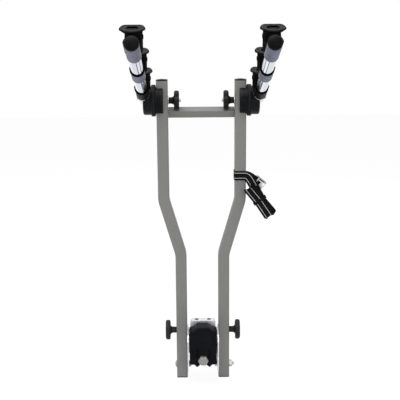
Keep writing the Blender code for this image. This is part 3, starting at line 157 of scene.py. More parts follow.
def make_lights():
    """Soft rectangles of light; the one behind isn't mirrored in the metal."""
    for name, location, target, size, power in LIGHTS:
        data = bpy.data.lights.new(name, "AREA")
        data.shape = "RECTANGLE"
        data.size, data.size_y = size
        data.energy = power
        aim = (Vector(target) - Vector(location)).to_track_quat("-Z", "Y")
        light = place(name, data, Matrix.Translation(location) @ aim.to_matrix().to_4x4())
        light.visible_glossy = name != "back_rim"


def feed(tree, socket, source):
    """Link a socket to another one, or set it to a plain value."""
    if isinstance(source, bpy.types.NodeSocket):
        tree.links.new(source, socket)
    else:
        socket.default_value = source


def add_node(tree, kind, *sources, **values):
    """Add a node; the sources feed its first inputs in order, the values its settings or named inputs."""
    node = tree.nodes.new(kind)
    for key, value in values.items():
        if hasattr(node, key):
            setattr(node, key, value)
        else:
            node.inputs[key.replace("_", " ")].default_value = value
    for socket, source in zip(node.inputs, sources):
        feed(tree, socket, source)
    return node


def seen_white(tree):
    """A factor that is 1 for what the camera sees directly, in a reflection or through glass."""
    rays = add_node(tree, "ShaderNodeLightPath").outputs
    factor = rays["Is Camera Ray"]
    for kind in ("Is Glossy Ray", "Is Transmission Ray"):
        factor = add_node(tree, "ShaderNodeMath", factor, rays[kind], operation="MAXIMUM").outputs[0]
    return factor


def make_world():
    world = bpy.data.worlds.new("studio")
    SCENE.world = world
    world.use_nodes = True
    tree = world.node_tree
    tree.nodes.clear()
    soft = add_node(tree, "ShaderNodeBackground", (1, 1, 1, 1), 0.55)
    white = add_node(tree, "ShaderNodeBackground", (1, 1, 1, 1), 1.0)
    either = add_node(tree, "ShaderNodeMixShader", seen_white(tree), soft.outputs[0], white.outputs[0])
    add_node(tree, "ShaderNodeOutputWorld", either.outputs[0])


def make_floor():
    bm = bmesh.new()
    bmesh.ops.create_grid(bm, x_segments=2, y_segments=2, size=6)
    mesh = bpy.data.meshes.new("floor")
    bm.to_mesh(mesh)
    bm.free()
    floor = place("floor", mesh, Matrix.Translation((0, 0, CAD_BOX[0][2] - 0.0005)))
    finish = Finish("floor_white", Base_Color=(0.9, 0.9, 0.9, 1), Roughness=0.9, Specular_IOR_Level=0.0)
    glow = finish.node("ShaderNodeEmission", (1, 1, 1, 1), 1.03)
    share = finish.maths("MULTIPLY", seen_white(finish.tree), 0.90)
    either = finish.node("ShaderNodeMixShader", share, finish.shader.outputs[0], glow.outputs[0])
    finish.tree.links.new(either.outputs[0], finish.tree.nodes["Material Output"].inputs["Surface"])
    mesh.materials.append(finish.material)


# Materials
def shade(level, tint=(1, 1, 1)):
    return tuple(level * part for part in tint)


class Finish:
    """A procedural material built node by node on one Principled shader."""

    def __init__(self, name, **sockets):
        self.material = bpy.data.materials.new(name)
        self.material.use_nodes = True
        self.tree = self.material.node_tree
        self.shader = self.tree.nodes["Principled BSDF"]
        for socket, value in sockets.items():
            self.shader.inputs[socket.replace("_", " ")].default_value = value
        self.coords = self.node("ShaderNodeTexCoord").outputs["Object"]

    def node(self, kind, *sources, **values):
        return add_node(self.tree, kind, *sources, **values)

    def maths(self, operation, *sources):
        return self.node("ShaderNodeMath", *sources, operation=operation).outputs[0]

    def parts(self, source):
        """The X, Y and Z of a vector."""
        return self.node("ShaderNodeSeparateXYZ", source).outputs

    def turned(self, angle):
        """Turn the coordinates about X, so that Y runs along an arm."""
        self.coords = self.node("ShaderNodeMapping", self.coords, Rotation=(angle, 0, 0)).outputs[0]
        return self

    def noise(self, scale, detail=3.0, stretch=(1, 1, 1), rough=0.5):
        spot = self.node("ShaderNodeMapping", self.coords, Scale=stretch).outputs[0]
        grain = self.node("ShaderNodeTexNoise", spot, Scale=scale, Detail=detail, Roughness=rough)
        return grain.outputs["Fac"]

    def ramp(self, source, *stops):
        node = self.node("ShaderNodeValToRGB", source)
        elements = node.color_ramp.elements
        while len(elements) < len(stops):
            elements.new(0.5)
        for element, (position, colour) in zip(elements, stops):
            element.position = position
            element.color = (*colour, 1)
        return node.outputs["Color"]

    def spread(self, source, low, high):
        return self.node("ShaderNodeMapRange", source, To_Min=low, To_Max=high).outputs["Result"]

    def mottle(self, dark, light, *grain):
        """Two tones that run into each other by a noise of the given scale, detail and stretch."""
        return self.ramp(self.noise(*grain), (0.3, dark), (0.7, light))

    def blend(self, factor, first, second):
        """The first colour where the factor is 0, the second where it is 1."""
        node = self.node("ShaderNodeMix", factor, data_type="RGBA")
        feed(self.tree, node.inputs[6], first)
        feed(self.tree, node.inputs[7], second)
        return node.outputs[2]

    def colour(self, source):
        feed(self.tree, self.shader.inputs["Base Color"], source)

    def rough(self, low, high, *grain):
        feed(self.tree, self.shader.inputs["Roughness"], self.spread(self.noise(*grain), low, high))

    def surface(self, rough, rough_grain, depth, depth_grain):
        """Set the roughness and a fine relief, each from its own noise, and give the material back."""
        self.rough(*rough, *rough_grain)
        self.bump(depth, self.noise(*depth_grain))
        return self.material

    def bump(self, distance, height):
        node = self.node("ShaderNodeBump", Strength=1.0, Distance=distance)
        feed(self.tree, node.inputs["Height"], height)
        feed(self.tree, self.shader.inputs["Normal"], node.outputs["Normal"])


def powder_coat():
    finish = Finish("powder_coat", Specular_IOR_Level=0.35)
    finish.colour(finish.mottle((0.168, 0.167, 0.160), (0.188, 0.186, 0.179), 9.0, 4.0, (1, 1, 0.4)))
    return finish.surface((0.42, 0.56), (60.0, 4.0), 0.00006, (900.0, 2.0))


def black_plastic(name, level, tint, rough, gloss):
    finish = Finish(name, Specular_IOR_Level=gloss)
    finish.colour(finish.mottle(shade(level * 0.7, tint), shade(level * 1.4, tint), 25.0, 4.0))
    return finish.surface(rough, (120.0, 4.0), 0.00005, (1400.0, 3.0))


def saddle_plastic():
    """Black plastic whose dish top is painted grey as painted light from above, with painted shade in its
    groove, at its edge and in its slot; the mesh says how much.
    """
    finish = Finish("saddle_plastic", Specular_IOR_Level=0.015)
    plain = finish.mottle(shade(0.0005), shade(0.0018), 30.0, 4.0)
    painted_lit = finish.mottle(shade(0.024), shade(0.046), 160.0, 5.0)
    painted_top_light = finish.node("ShaderNodeAttribute", attribute_name="painted_top_light").outputs["Fac"]
    finish.colour(finish.blend(painted_top_light, plain, painted_lit))
    return finish.surface((0.42, 0.58), (120.0, 4.0), 0.00005, (1400.0, 3.0))


def rubber():
    finish = Finish("rubber", Specular_IOR_Level=0.08)
    finish.colour(finish.mottle(shade(0.0025), shade(0.006), 60.0, 5.0))
    return finish.surface((0.58, 0.78), (200.0, 4.0), 0.00007, (1100.0, 3.0))


def sleeve_plastic():
    finish = Finish("sleeve_plastic", Specular_IOR_Level=0.2).turned(ARM_RISE)
    finish.colour(finish.mottle((0.077, 0.086, 0.124), (0.122, 0.134, 0.183), 150.0, 4.0, (1, 0.4, 1)))
    return finish.surface((0.42, 0.56), (90.0, 3.0), 0.00012, (500.0, 4.0))


def shaded_sleeve():
    """The lowest sleeve: the grey sleeve painted nearly black as painted shade, with grey specks, and pale
    bits at its rear rim that are painted highlights.
    """
    finish = Finish("shaded_sleeve", Specular_IOR_Level=0.04).turned(ARM_RISE)
    dark = finish.ramp(finish.noise(260.0, 4.0), (0.45, (0.0012, 0.0012, 0.0020)),
                       (0.60, (0.006, 0.006, 0.008)), (0.75, (0.030, 0.031, 0.036)))
    pale = finish.ramp(finish.noise(190.0, 2.0), (0.50, (0.010, 0.010, 0.012)), (0.56, (0.40, 0.40, 0.42)))
    rim = HUB_Y * math.cos(ARM_RISE) - HUB_Z * math.sin(ARM_RISE) - 0.0625
    on_rim = finish.maths("GREATER_THAN", finish.parts(finish.coords)["Y"], rim)
    finish.colour(finish.blend(on_rim, dark, pale))
    return finish.surface((0.40, 0.56), (90.0, 3.0), 0.00012, (500.0, 4.0))


def chrome():
    """Plated tube whose fine grey-blue lines along it are a painted reflection."""
    finish = Finish("chrome", Metallic=1.0).turned(ARM_RISE)
    lines = finish.noise(150.0, 2.0, (1, 0.004, 1), 0.4)
    finish.colour(finish.ramp(lines, (0.33, (0.26, 0.26, 0.32)), (0.38, (0.60, 0.61, 0.69)),
                              (0.52, (0.64, 0.66, 0.74)), (0.62, (0.86, 0.87, 0.91))))
    return finish.surface((0.06, 0.15), (45.0, 5.0, (1, 0.2, 1)), 0.00001, (700.0, 2.0, (1, 0.1, 1)))


def zinc(name="zinc", level=0.50, rough=(0.28, 0.44), scale=40.0, blue=0.985, holes=False):
    """Plated steel; with holes, the bracket's two flange holes and a thin ring round each get painted shade.
    """
    finish = Finish(name, Metallic=0.9)
    dark, light = shade(level * 0.84, (1, 1, blue)), shade(level * 1.14, (1, 1, blue + 0.005))
    plate = finish.mottle(dark, light, scale, 5.0)
    if holes:
        x, y, _ = finish.parts(finish.coords)
        flat = finish.node("ShaderNodeCombineXYZ", finish.maths("ABSOLUTE", x), y).outputs[0]
        apart = finish.node("ShaderNodeVectorMath", flat, HOLE_AT, operation="DISTANCE")
        inside = finish.maths("LESS_THAN", apart.outputs["Value"], HOLE_SHADE_REACH)
        plate = finish.blend(inside, plate, (0.012, 0.012, 0.013, 1))
    finish.colour(plate)
    return finish.surface(rough, (160.0, 5.0), 0.00004, (600.0, 4.0))


def cast_steel():
    finish = Finish("cast_steel", Metallic=0.6)
    finish.colour(finish.mottle(shade(0.003), (0.010, 0.010, 0.0095), 50.0, 6.0))
    return finish.surface((0.5, 0.7), (140.0, 4.0), 0.00025, (420.0, 6.0))


def lining():
    finish = Finish("friction_lining", Roughness=0.85)
    finish.colour(finish.mottle(shade(0.005), (0.012, 0.012, 0.011), 500.0, 4.0))
    finish.bump(0.00008, finish.noise(900.0, 4.0))
    return finish.material


def webbing():
    """Black woven polyester with two pale lines past the buckle; its UV map is metres across and along."""
    finish = Finish("webbing", Roughness=0.8, Specular_IOR_Level=0.05, Sheen_Weight=0.03,
                    Sheen_Roughness=0.5)
    maths = finish.maths
    across, along, _ = finish.parts(finish.node("ShaderNodeUVMap", uv_map="ribbon").outputs["UV"])

    def wave(source, period):
        return maths("SINE", maths("MULTIPLY", source, math.tau / period))

    slant = maths("MULTIPLY", across, 0.35)
    ribs = maths("ADD", *[wave(maths(sign, along, slant), WEAVE_ALONG) for sign in ("ADD", "SUBTRACT")])
    weave = maths("MULTIPLY", ribs, wave(across, WEAVE_ACROSS))
    tone = finish.ramp(finish.spread(weave, 0.2, 0.8), (0.2, (0.0025, 0.0025, 0.0028)),
                       (0.8, (0.0150, 0.0155, 0.0160)))
    on_lines = [maths("LESS_THAN", maths("ABSOLUTE", maths("SUBTRACT", across, line)), LINE_HALF)
                for line in LINES_AT]
    lines = maths("MULTIPLY", maths("MAXIMUM", *on_lines), maths("GREATER_THAN", along, LINES_START))
    pale = finish.mottle((0.40, 0.41, 0.41), (0.62, 0.63, 0.63), 900.0, 2.0)
    finish.colour(finish.blend(lines, tone, pale))
    finish.bump(0.00016, finish.spread(weave, 0.0, 1.0))
    return finish.material


# Level, tint, roughness and gloss of each black moulding
BLACKS = {
    "black": (0.0050, (1.0, 1.0, 1.08), (0.38, 0.52), 0.10),
    "dome": (0.0036, (1.0, 1.0, 1.04), (0.40, 0.52), 0.05),
    "hood": (0.0046, (0.90, 0.98, 1.35), (0.34, 0.46), 0.05),
    "joint": (0.0052, (0.92, 1.0, 1.14), (0.34, 0.46), 0.09),
    "knob": (0.0070, (1.0, 1.0, 1.0), (0.36, 0.48), 0.10),
    "grey_knob": (0.0125, (1.0, 1.0, 1.04), (0.38, 0.50), 0.17),
}
# The record's slot and the material of each look
LOOKS = {
    **{name: ("black_plastic", black_plastic(name + "_plastic", *look)) for name, look in BLACKS.items()},
    "coat": ("grey_paint", powder_coat()),
    "saddle": ("black_plastic", saddle_plastic()),
    "rubber": ("rubber", rubber()),
    "sleeve": ("grey_sleeve", sleeve_plastic()),
    "shaded_sleeve": ("grey_sleeve", shaded_sleeve()),
    "chrome": ("chrome_tube", chrome()),
    "zinc": ("zinc", zinc()),
    "bolt": ("zinc", zinc("bolt_zinc", 0.30, (0.40, 0.58), 220.0)),
    "buckle": ("zinc", zinc("buckle_zinc", 0.34, (0.26, 0.42), 260.0)),
    "bright": ("zinc", zinc("bright_zinc", 0.50, (0.20, 0.34), 200.0)),
    "bracket": ("zinc", zinc("bracket_zinc", 0.77, (0.30, 0.44), 90.0, 1.05, True)),
    "cast": ("cast_steel", cast_steel()),
    "lining": ("friction_lining", lining()),
    "webbing": ("webbing", webbing()),
}


# Modelling helpers
def to_mesh(bm, name, angle=38.0):
    bmesh.ops.recalc_face_normals(bm, faces=bm.faces)
    mesh = bpy.data.meshes.new(name)
    bm.to_mesh(mesh)
    bm.free()
    mesh.shade_smooth()
    mesh.set_sharp_from_angle(angle=math.radians(angle))
    return mesh


def place(name, data, matrix=Matrix.Identity(4)):
    obj = bpy.data.objects.new(name, data)
    SCENE.collection.objects.link(obj)
    obj.matrix_world = matrix
    return obj


def finish_piece(obj, body, look, node):
    """Give a piece its material and its body, and hide the solid it stands for."""
    slot, material = LOOKS[look]
    obj.data.transform(obj.matrix_world)
    obj.matrix_world = Matrix.Identity(4)
    obj.data.materials.clear()
    obj.data.materials.append(material)
    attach(obj, body)
    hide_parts(node)
    return obj


def evaluated(obj):
    """A new mesh of what an object looks like with its modifiers."""
    bpy.context.view_layer.update()
    return bpy.data.meshes.new_from_object(obj.evaluated_get(bpy.context.evaluated_depsgraph_get()))


def applied(obj, angle=38.0):
    """Apply an object's modifiers and shade it smooth again."""
    mesh = evaluated(obj)
    obj.modifiers.clear()
    obj.data = mesh
    mesh.shade_smooth()
    mesh.set_sharp_from_angle(angle=math.radians(angle))
    return obj


def combine(obj, operation, *others):
    for other in others:
        modifier = obj.modifiers.new(operation, "BOOLEAN")
        modifier.operation = operation
        modifier.solver = "EXACT"
        modifier.object = other
    applied(obj)
    for other in others:
        bpy.data.objects.remove(other, do_unlink=True)
    return obj


def soften(obj, width, segments=3, angle=38.0):
    modifier = obj.modifiers.new("soften", "BEVEL")
    modifier.width = width
    modifier.segments = segments
    modifier.limit_method = "ANGLE"
    modifier.angle_limit = math.radians(angle)
    return applied(obj, angle)


def join_rings(bm, first, second):
    """The faces between two rings of points, where a ring of one point makes a fan."""
    count = max(len(first), len(second))
    for step in range(count if count > 1 else 0):
        after = (step + 1) % count
        corners = (first[step % len(first)], second[step % len(second)],
                   second[after % len(second)], first[after % len(first)])
        bm.faces.new(list(dict.fromkeys(corners)))


def lathe(name, profile, matrix=Matrix.Identity(4), steps=72, ring=False, shape=None, angle=38.0):
    """Turn (radius, height) points about Z; shape may change a point by (radius, angle, height)."""
    bm = bmesh.new()
    rings = []
    for radius, height in profile:
        if radius < 1e-7:
            rings.append([bm.verts.new((0, 0, height))])
            continue
        verts = []
        for step in range(steps):
            turn = math.tau * step / steps
            r = shape(radius, turn, height) if shape else radius
            verts.append(bm.verts.new((r * math.cos(turn), r * math.sin(turn), height)))
        rings.append(verts)
    pairs = list(zip(rings, rings[1:]))
    if ring:
        pairs.append((rings[-1], rings[0]))
    for first, second in pairs:
        join_rings(bm, first, second)
    return place(name, to_mesh(bm, name, angle), matrix)


def near(radius, height, *steps):
    """Profile points, each given in millimetres out and up from one radius and height."""
    return [(radius + out / 1000, height + up / 1000) for out, up in steps]


def box(name, low, high, matrix=Matrix.Identity(4)):
    bm = bmesh.new()
    bmesh.ops.create_cube(bm, size=1.0)
    low, high = Vector(low), Vector(high)
    bmesh.ops.scale(bm, vec=high - low, verts=bm.verts)
    bmesh.ops.translate(bm, vec=(low + high) / 2, verts=bm.verts)
    return place(name, to_mesh(bm, name), matrix)


def slab(name, outline, thickness, matrix=Matrix.Identity(4), *holes):
    """A flat outline in local XY with holes, half the thickness each way along Z."""
    curve = bpy.data.curves.new(name, "CURVE")
    for points in (outline, *holes):
        spline = curve.splines.new("POLY")
        spline.points.add(len(points) - 1)
        for point, (x, y) in zip(spline.points, points):
            point.co = (x, y, 0, 1)
        spline.use_cyclic_u = True
    curve.dimensions = "2D"
    curve.fill_mode = "BOTH"
    curve.extrude = thickness / 2
    sketch = place(name + "_sketch", curve)
    bm = bmesh.new()
    bm.from_mesh(evaluated(sketch))
    bpy.data.objects.remove(sketch)
    bmesh.ops.remove_doubles(bm, verts=bm.verts, dist=0.000001)
    bmesh.ops.dissolve_limit(bm, angle_limit=0.005, verts=bm.verts, edges=bm.edges)
    return place(name, to_mesh(bm, name), matrix)


def arc(centre, radius, start, end, steps):
    turns = [math.radians(start + (end - start) * index / steps) for index in range(steps + 1)]
    return [(centre[0] + radius * math.cos(turn), centre[1] + radius * math.sin(turn)) for turn in turns]


def rounded(width, height, radius, steps=6):
    half_x, half_y = width / 2 - radius, height / 2 - radius
    points = []
    for turn, (x, y) in enumerate(((1, 1), (-1, 1), (-1, -1), (1, -1))):
        points += arc((x * half_x, y * half_y), radius, turn * 90, turn * 90 + 90, steps)
    return points


def mirrored(points):
    """An outline from its half; a point on the middle line isn't repeated."""
    return points + [(-x, z) for x, z in reversed(points) if abs(x) > 1e-9]


def outward(side, distance, y, z):
    """Lays local Z along X, away from the middle plane, from a distance on that side."""
    return Matrix.Translation((side * distance, y, z)) @ Matrix.Rotation(QUARTER * side, 4, "Y")


def arm_matrix(side):
    return Matrix.Translation((side * ARM_X, HUB_Y, HUB_Z)) @ Matrix.Rotation(-ARM_RISE, 4, "X")


def along_arm(side):
    """Lays local Z along the arm, from the clutch axis outwards."""
    return arm_matrix(side) @ TO_FRONT


def filleted(points, radius, steps):
    path = [Vector(points[0])]
    for before, corner, after in zip(points, points[1:], points[2:]):
        corner = Vector(corner)
        back = (Vector(before) - corner).normalized()
        ahead = (Vector(after) - corner).normalized()
        turn = math.pi - back.angle(ahead)
        start = corner + back * radius * math.tan(turn / 2)
        centre = corner + (back + ahead).normalized() * (radius / math.cos(turn / 2))
        axis = (start - centre).cross(ahead).normalized()
        for index in range(steps + 1):
            path.append(centre + Matrix.Rotation(turn * index / steps, 3, axis) @ (start - centre))
    path.append(Vector(points[-1]))
    return path


def swept_tube(name, path, side, wall, corner, normal, matrix=Matrix.Identity(4)):
    """A rounded square tube along a path in one plane, whose normal is given."""
    inner = rounded(side - 2 * wall, side - 2 * wall, max(corner - wall, 0.0004))
    bm = bmesh.new()
    shells = []
    last = len(path) - 1
    for outline in (rounded(side, side, corner), inner):
        rings = []
        for index, point in enumerate(path):
            ahead = path[min(index + 1, last)] - point
            behind = point - path[max(index - 1, 0)]
            along = (ahead.normalized() + behind.normalized()).normalized()
            across = Vector(normal).cross(along).normalized()
            rings.append([bm.verts.new(point + across * x + Vector(normal) * y) for x, y in outline])
        shells.append(rings)
    strips = [pair for rings in shells for pair in zip(rings, rings[1:])]
    strips += [(shells[1][0], shells[0][0]), (shells[0][-1], shells[1][-1])]
    for first, second in strips:
        join_rings(bm, first, second)
    return place(name, to_mesh(bm, name, 45.0), matrix)


# Frame
def uprights():
    for name, side in SIDES.items():
        points = [(side * FOOT_HALF, 0, FOOT_Z), (side * FOOT_HALF, 0, LOWER_BEND_Z),
                  (side * TOP_HALF, 0, UPPER_BEND_Z), (side * TOP_HALF, 0, TOP_Z)]
        tube = swept_tube(name + "_upright_tube", filleted(points, BEND_RADIUS, 14), TUBE_SIDE, TUBE_WALL,
                          TUBE_CORNER, (0, 1, 0))
        finish_piece(tube, "frame", "coat", name + "_upright")
        tube_end(name + "_cap", side * TOP_HALF, TOP_Z, 1, name + "_top_cap")
        tube_end(name + "_plug", side * FOOT_HALF, FOOT_Z, -1, name + "_foot_plug")
    half = TOP_HALF - TUBE_SIDE / 2 - GAP
    turn = Matrix.Translation((0, BAR_Y, BAR_Z)) @ Matrix.Rotation(BAR_TURN, 4, "X")
    bar = swept_tube("crossbar_tube", [Vector((-half, 0, 0)), Vector((half, 0, 0))], BAR_SIDE, BAR_WALL,
                     BAR_CORNER, (0, 0, 1), turn)
    finish_piece(bar, "frame", "coat", "crossbar")


def tube_end(name, x, z, up, node):
    """A thin plastic plate on a tube's end with a stem inside it; the upper one has a low roof."""
    cap = slab(name, rounded(TUBE_SIDE, TUBE_SIDE, TUBE_CORNER), CAP_THICK,
               Matrix.Translation((x, 0, z + up * (GAP + CAP_THICK / 2))))
    if up > 0:
        bm = bmesh.new()
        bm.from_mesh(cap.data)
        top = [face for face in bm.faces if face.normal.z > 0.9]
        bmesh.ops.inset_region(bm, faces=top, thickness=0.0022, depth=0.0)
        top = [face for face in bm.faces if face.normal.z > 0.9 and abs(face.calc_center_median().x) < 0.002]
        for vert in bmesh.ops.poke(bm, faces=top)["verts"]:
            vert.co.z += ROOF_RISE
        bm.to_mesh(cap.data)
        bm.free()
    soften(cap, 0.0005, 2, 30.0)
    stem = slab(name + "_stem", rounded(PLUG_SIDE, PLUG_SIDE, PLUG_CORNER), PLUG_LENGTH,
                Matrix.Translation((x, 0, z - up * PLUG_DEPTH)))
    finish_piece(combine(cap, "UNION", stem), "frame", "black", node)


# Clutch joints
def joint_base(name, side):
    """The fixed clutch half: a drum with faint grooves and a flange rounded on the drum's side."""
    flange = BASE_LENGTH - BASE_FLANGE
    profile = near(0.0, BASE_LENGTH, (BOLT_BORE * 1000, -0.1))
    profile += near(FLANGE_RADIUS, BASE_LENGTH, (-0.6, -0.1), (-0.1, -0.5), (0, -1.1))
    profile += near(FLANGE_RADIUS, flange, (0, 2.4), (-0.3, 1.3), (-1.0, 0.5), (-2.1, 0.1), (-3.0, 0))
    profile += near(BASE_RADIUS, flange, (1.2, 0), (0.3, -0.4), (0, -1.2))
    for groove in range(3):
        top = flange - 0.0034 - groove * 0.0038
        profile += near(BASE_RADIUS, top, (0, 0), (-0.6, -0.4), (-0.6, -0.9), (0, -1.3))
    profile += near(BASE_RADIUS, 0.0, (0, 1.4), (-0.5, 0.4), (-1.4, 0)) + [(BOLT_BORE, 0.0)]
    base = lathe(name + "_clutch_base", profile, outward(side, BASE_START, HUB_Y, HUB_Z), 96, True)
    low, high = sorted((side * (TOP_HALF - TUBE_SIDE), side * (TOP_HALF + TUBE_SIDE / 2 + GAP)))
    half = TUBE_SIDE / 2 + GAP
    channel = box(name + "_channel", (low, -half, HUB_Z - 0.06), (high, half, HUB_Z + 0.06))
    finish_piece(combine(base, "DIFFERENCE", channel), "frame", "joint", name + "_joint_base")


def arm_socket(name, side):
    """The turning clutch half: a flange, a drum with a recess for the bolt's head, and the arm's channel."""
    top, recess = SOCKET_LENGTH, WASHER_RADIUS - 0.002
    profile = [(BOLT_BORE, top - HEAD_RECESS), (recess, top - HEAD_RECESS)]
    profile += near(recess, top, (0, -0.6), (0.6, 0))
    profile += near(0.0, top, (15.0, 0), (15.4, -1.2), (19.0, -1.2), (19.4, 0))
    profile += near(SOCKET_RADIUS, top, (-4.4, 0), (-2.2, -0.6), (-0.6, -2.2), (0, -4.4))
    profile += near(SOCKET_RADIUS, SOCKET_FLANGE, (0, 1.2), (0.3, 0.4), (1.2, 0))
    profile += near(FLANGE_RADIUS, SOCKET_FLANGE, (-2.1, -0.1), (-1.0, -0.5), (-0.3, -1.3), (0, -2.4))
    profile += near(FLANGE_RADIUS, 0.0, (0, 1.0), (-0.1, 0.5), (-0.6, 0.1)) + [(BOLT_BORE, 0.0001)]
    socket = lathe(name + "_clutch_socket", profile, outward(side, SOCKET_START, HUB_Y, HUB_Z), 96, True)
    channel = lathe(name + "_arm_channel", [(0, 0.09), (ARM_RADIUS + GAP, 0.09),
                                            (ARM_RADIUS + GAP, ARM_START - GAP), (0, ARM_START - GAP)],
                    along_arm(side), 64)
    combine(socket, "DIFFERENCE", channel)
    finish_piece(socket, name + "_arm", "joint", name + "_arm_socket")


def friction_disc(name, side):
    edge, bore = FLANGE_RADIUS - 0.0003, 0.008
    profile = near(edge, DISC_THICK, (0, -0.2), (-0.2, 0)) + [(bore, DISC_THICK), (bore, 0.0)]
    profile += near(edge, 0.0, (-0.2, 0), (0, 0.2))
    disc = lathe(name + "_lining", profile, outward(side, DISC_START, HUB_Y, HUB_Z), 96, True)
    finish_piece(disc, "frame", "lining", name + "_friction_disc")


def thread_depth(pitch, depth, turn, height):
    phase = (height / pitch - turn / math.tau) % 1.0
    return depth * (1 - abs(2 * phase - 1))


def thread_shape(pitch, depth, start, end):
    """Radius change that winds a thread between two heights."""
    def shape(radius, turn, height):
        return radius - thread_depth(pitch, depth, turn, height) if start < height < end else radius
    return shape


def bolt_profile(radius, start, end, step):
    count = max(2, round((end - start) / step))
    return [(radius, end - (end - start) * index / count) for index in range(count + 1)]


def hex_head(name, flats, height, matrix, turned=0.16):
    """A hexagon head with its top corners turned off, standing on local Z = 0."""
    corner = flats / 2 / math.cos(math.pi / 6)
    bm = bmesh.new()
    bmesh.ops.create_cone(bm, cap_ends=True, segments=6, radius1=corner, radius2=corner, depth=height,
                          matrix=Matrix.Translation((0, 0, height / 2)))
    head = place(name, to_mesh(bm, name, 30.0), matrix)
    lens = lathe(name + "_turned", [(0, height), (flats / 2 * (1.12 - turned), height),
                                    (corner * 1.02, height - corner * turned), (corner * 1.02, -0.001),
                                    (0, -0.001)], matrix, 72)
    return combine(head, "INTERSECT", lens)


def joint_bolt(name, side):
    """The long clutch bolt: hexagon head in the socket's recess, thread at its tip."""
    seat = SOCKET_START + SOCKET_LENGTH - HEAD_RECESS + GAP
    length = seat - (KNOB_SEAT - JOINT_STEM - KNOB_HEAD - BOLT_TIP)
    profile = [(0, 0.0005), (BOLT_RADIUS, 0.0005)]
    profile += bolt_profile(BOLT_RADIUS, -length + 0.0006, 0.0003, 0.0004)
    profile += [(BOLT_RADIUS - 0.0006, -length), (0, -length)]
    matrix = outward(side, seat, HUB_Y, HUB_Z)
    shank = lathe(name + "_clutch_bolt", profile, matrix, 32,
                  shape=thread_shape(0.00125, 0.0004, -length, -0.06))
    head = combine(hex_head(name + "_clutch_bolt_head", JOINT_FLATS, JOINT_HEX, matrix), "UNION", shank)
    finish_piece(head, "frame", "zinc", name + "_joint_bolt")
    profile = near(WASHER_RADIUS, WASHER_THICK, (-0.3, 0), (0, -0.3))
    profile += near(WASHER_RADIUS, 0.0, (0, 0.3), (-0.3, 0)) + [(BOLT_BORE, 0), (BOLT_BORE, WASHER_THICK)]
    washer = lathe(name + "_clutch_washer", profile, outward(side, KNOB_SEAT + GAP, HUB_Y, HUB_Z), 64, True)
    finish_piece(washer, "frame", "zinc", name + "_joint_washer")


def knob(name, matrix, stem, through, node, look, lobe_turn=0.0, more=-0.0004):
    """A moulded six-lobed knob: rounded rim, dished face with a ring, flared stem."""
    length = stem + KNOB_HEAD
    rim = KNOB_RADIUS + more
    if through:
        profile = near(0.0, length, (4.3, -3.0), (6.2, -3.0), (6.8, -0.6))
    else:
        profile = near(0.0, length, (0, -1.2), (5.5, -1.2), (6.2, -0.6))
    profile += near(0.0, length, (8.0, 0), (11.2, 0), (12.2, -0.6), (16.5, -0.8), (18.5, -0.2))
    profile += near(rim, length, (-3.6, 0), (-1.8, -0.7), (-0.6, -2.1), (0, -4.2))
    profile += near(rim, stem, (0, 3.6), (-0.7, 1.8), (-2.2, 0.5), (-4.0, 0))
    profile += near(0.0, stem, (15.0, -0.2), (12.2, -1.0), (10.1, -2.6), (9.0, -4.6), (8.5, -7.0))
    profile += near(0.0, 0.0, (8.3, 0.6), (7.9, 0), (4.3, 0))
    if not through:
        profile += near(0.0, length, (4.3, -6.0), (0, -6.0))

    def lobes(radius, turn, height):
        if radius < 0.0135 or height < stem - 0.0005:
            return radius
        hollow = ((1 - math.cos(KNOB_LOBES * (turn - lobe_turn))) / 2) ** 2.2
        return radius - 0.0036 * hollow * (radius / rim) ** 2

    finish_piece(lathe(name, profile, matrix, 144, through, lobes, 50.0), node, look, node)


# Arms
def arm(name, side):
    body = name + "_arm"
    inner = ARM_RADIUS - ARM_WALL
    tube = lathe(name + "_chrome_tube", [(ARM_RADIUS, ARM_END), (ARM_RADIUS, ARM_START),
                                         (inner, ARM_START), (inner, ARM_END)], along_arm(side), 96, True)
    finish_piece(tube, body, "chrome", name + "_arm_tube")
    seat, plug = ARM_END + GAP + SLEEVE_PROUD, 0.0122
    shoulder, top = seat + 0.0012, ARM_END + GAP + CAP_DOME
    profile = [(0, top)]
    for x, rise in reversed(arc((0, 0), 1.0, 0, 90, 12)[:-1]):
        profile.append((CAP_RADIUS * x, shoulder + (top - shoulder) * rise))
    profile += near(CAP_RADIUS, seat, (0, 0.6), (-0.5, 0)) + near(plug, seat, (0, 0), (0, -16))
    profile.append((0, seat - 0.016))
    cap = lathe(name + "_dome_cap", profile, along_arm(side), 72)
    finish_piece(cap, body, "dome", name + "_arm_end_cap")
    profile = near(0.0, ARM_RADIUS + GAP, (0, 1.8), (1.8, 1.8), (2.0, 3.3), (3.2, 3.1), (4.9, 2.2),
                   (5.8, 0.9), (6.0, 0), (3.0, 0)) + [(0.003, -0.0200), (0, -0.0200)]
    beside = arm_matrix(side) @ Matrix.Translation((0, -0.0285, 0)) @ Matrix.Rotation(QUARTER * side, 4, "Y")
    finish_piece(lathe(name + "_cross_bolt", profile, beside, 48), body, "zinc", name + "_arm_bolt")
    for index, front in enumerate(CRADLE_FRONTS, start=1):
        cradle(name, side, index, front)


def dish_edge(turn):
    """The dish's outline: a circle with a straight far side and eased corners."""
    rise = math.sin(turn)
    if rise < 0.01:
        return DISH_RADIUS
    ease = min(1.0, rise / (DISH_FLAT / DISH_RADIUS))
    return min(DISH_RADIUS - 0.0013 * ease ** 3, DISH_FLAT / rise)


DISH_LEVELS = near(0.0, 0.0, (0, -0.4), (360, -0.4), (380, -2.4), (480, -2.4), (520, -0.4), (660, -0.2),
                   (690, -1.0), (730, -1.0), (760, 0), (880, 0), (940, -0.7), (1000, -1.1))
# Painted light on the saddle by share of the dish's radius: a lit top and raised rim band, painted shade in
# the groove and at the edge
PAINTED_LIGHT_LEVELS = ((0.36, 0.75), (0.50, 0.10), (0.88, 1.0), (1.02, 0.12))


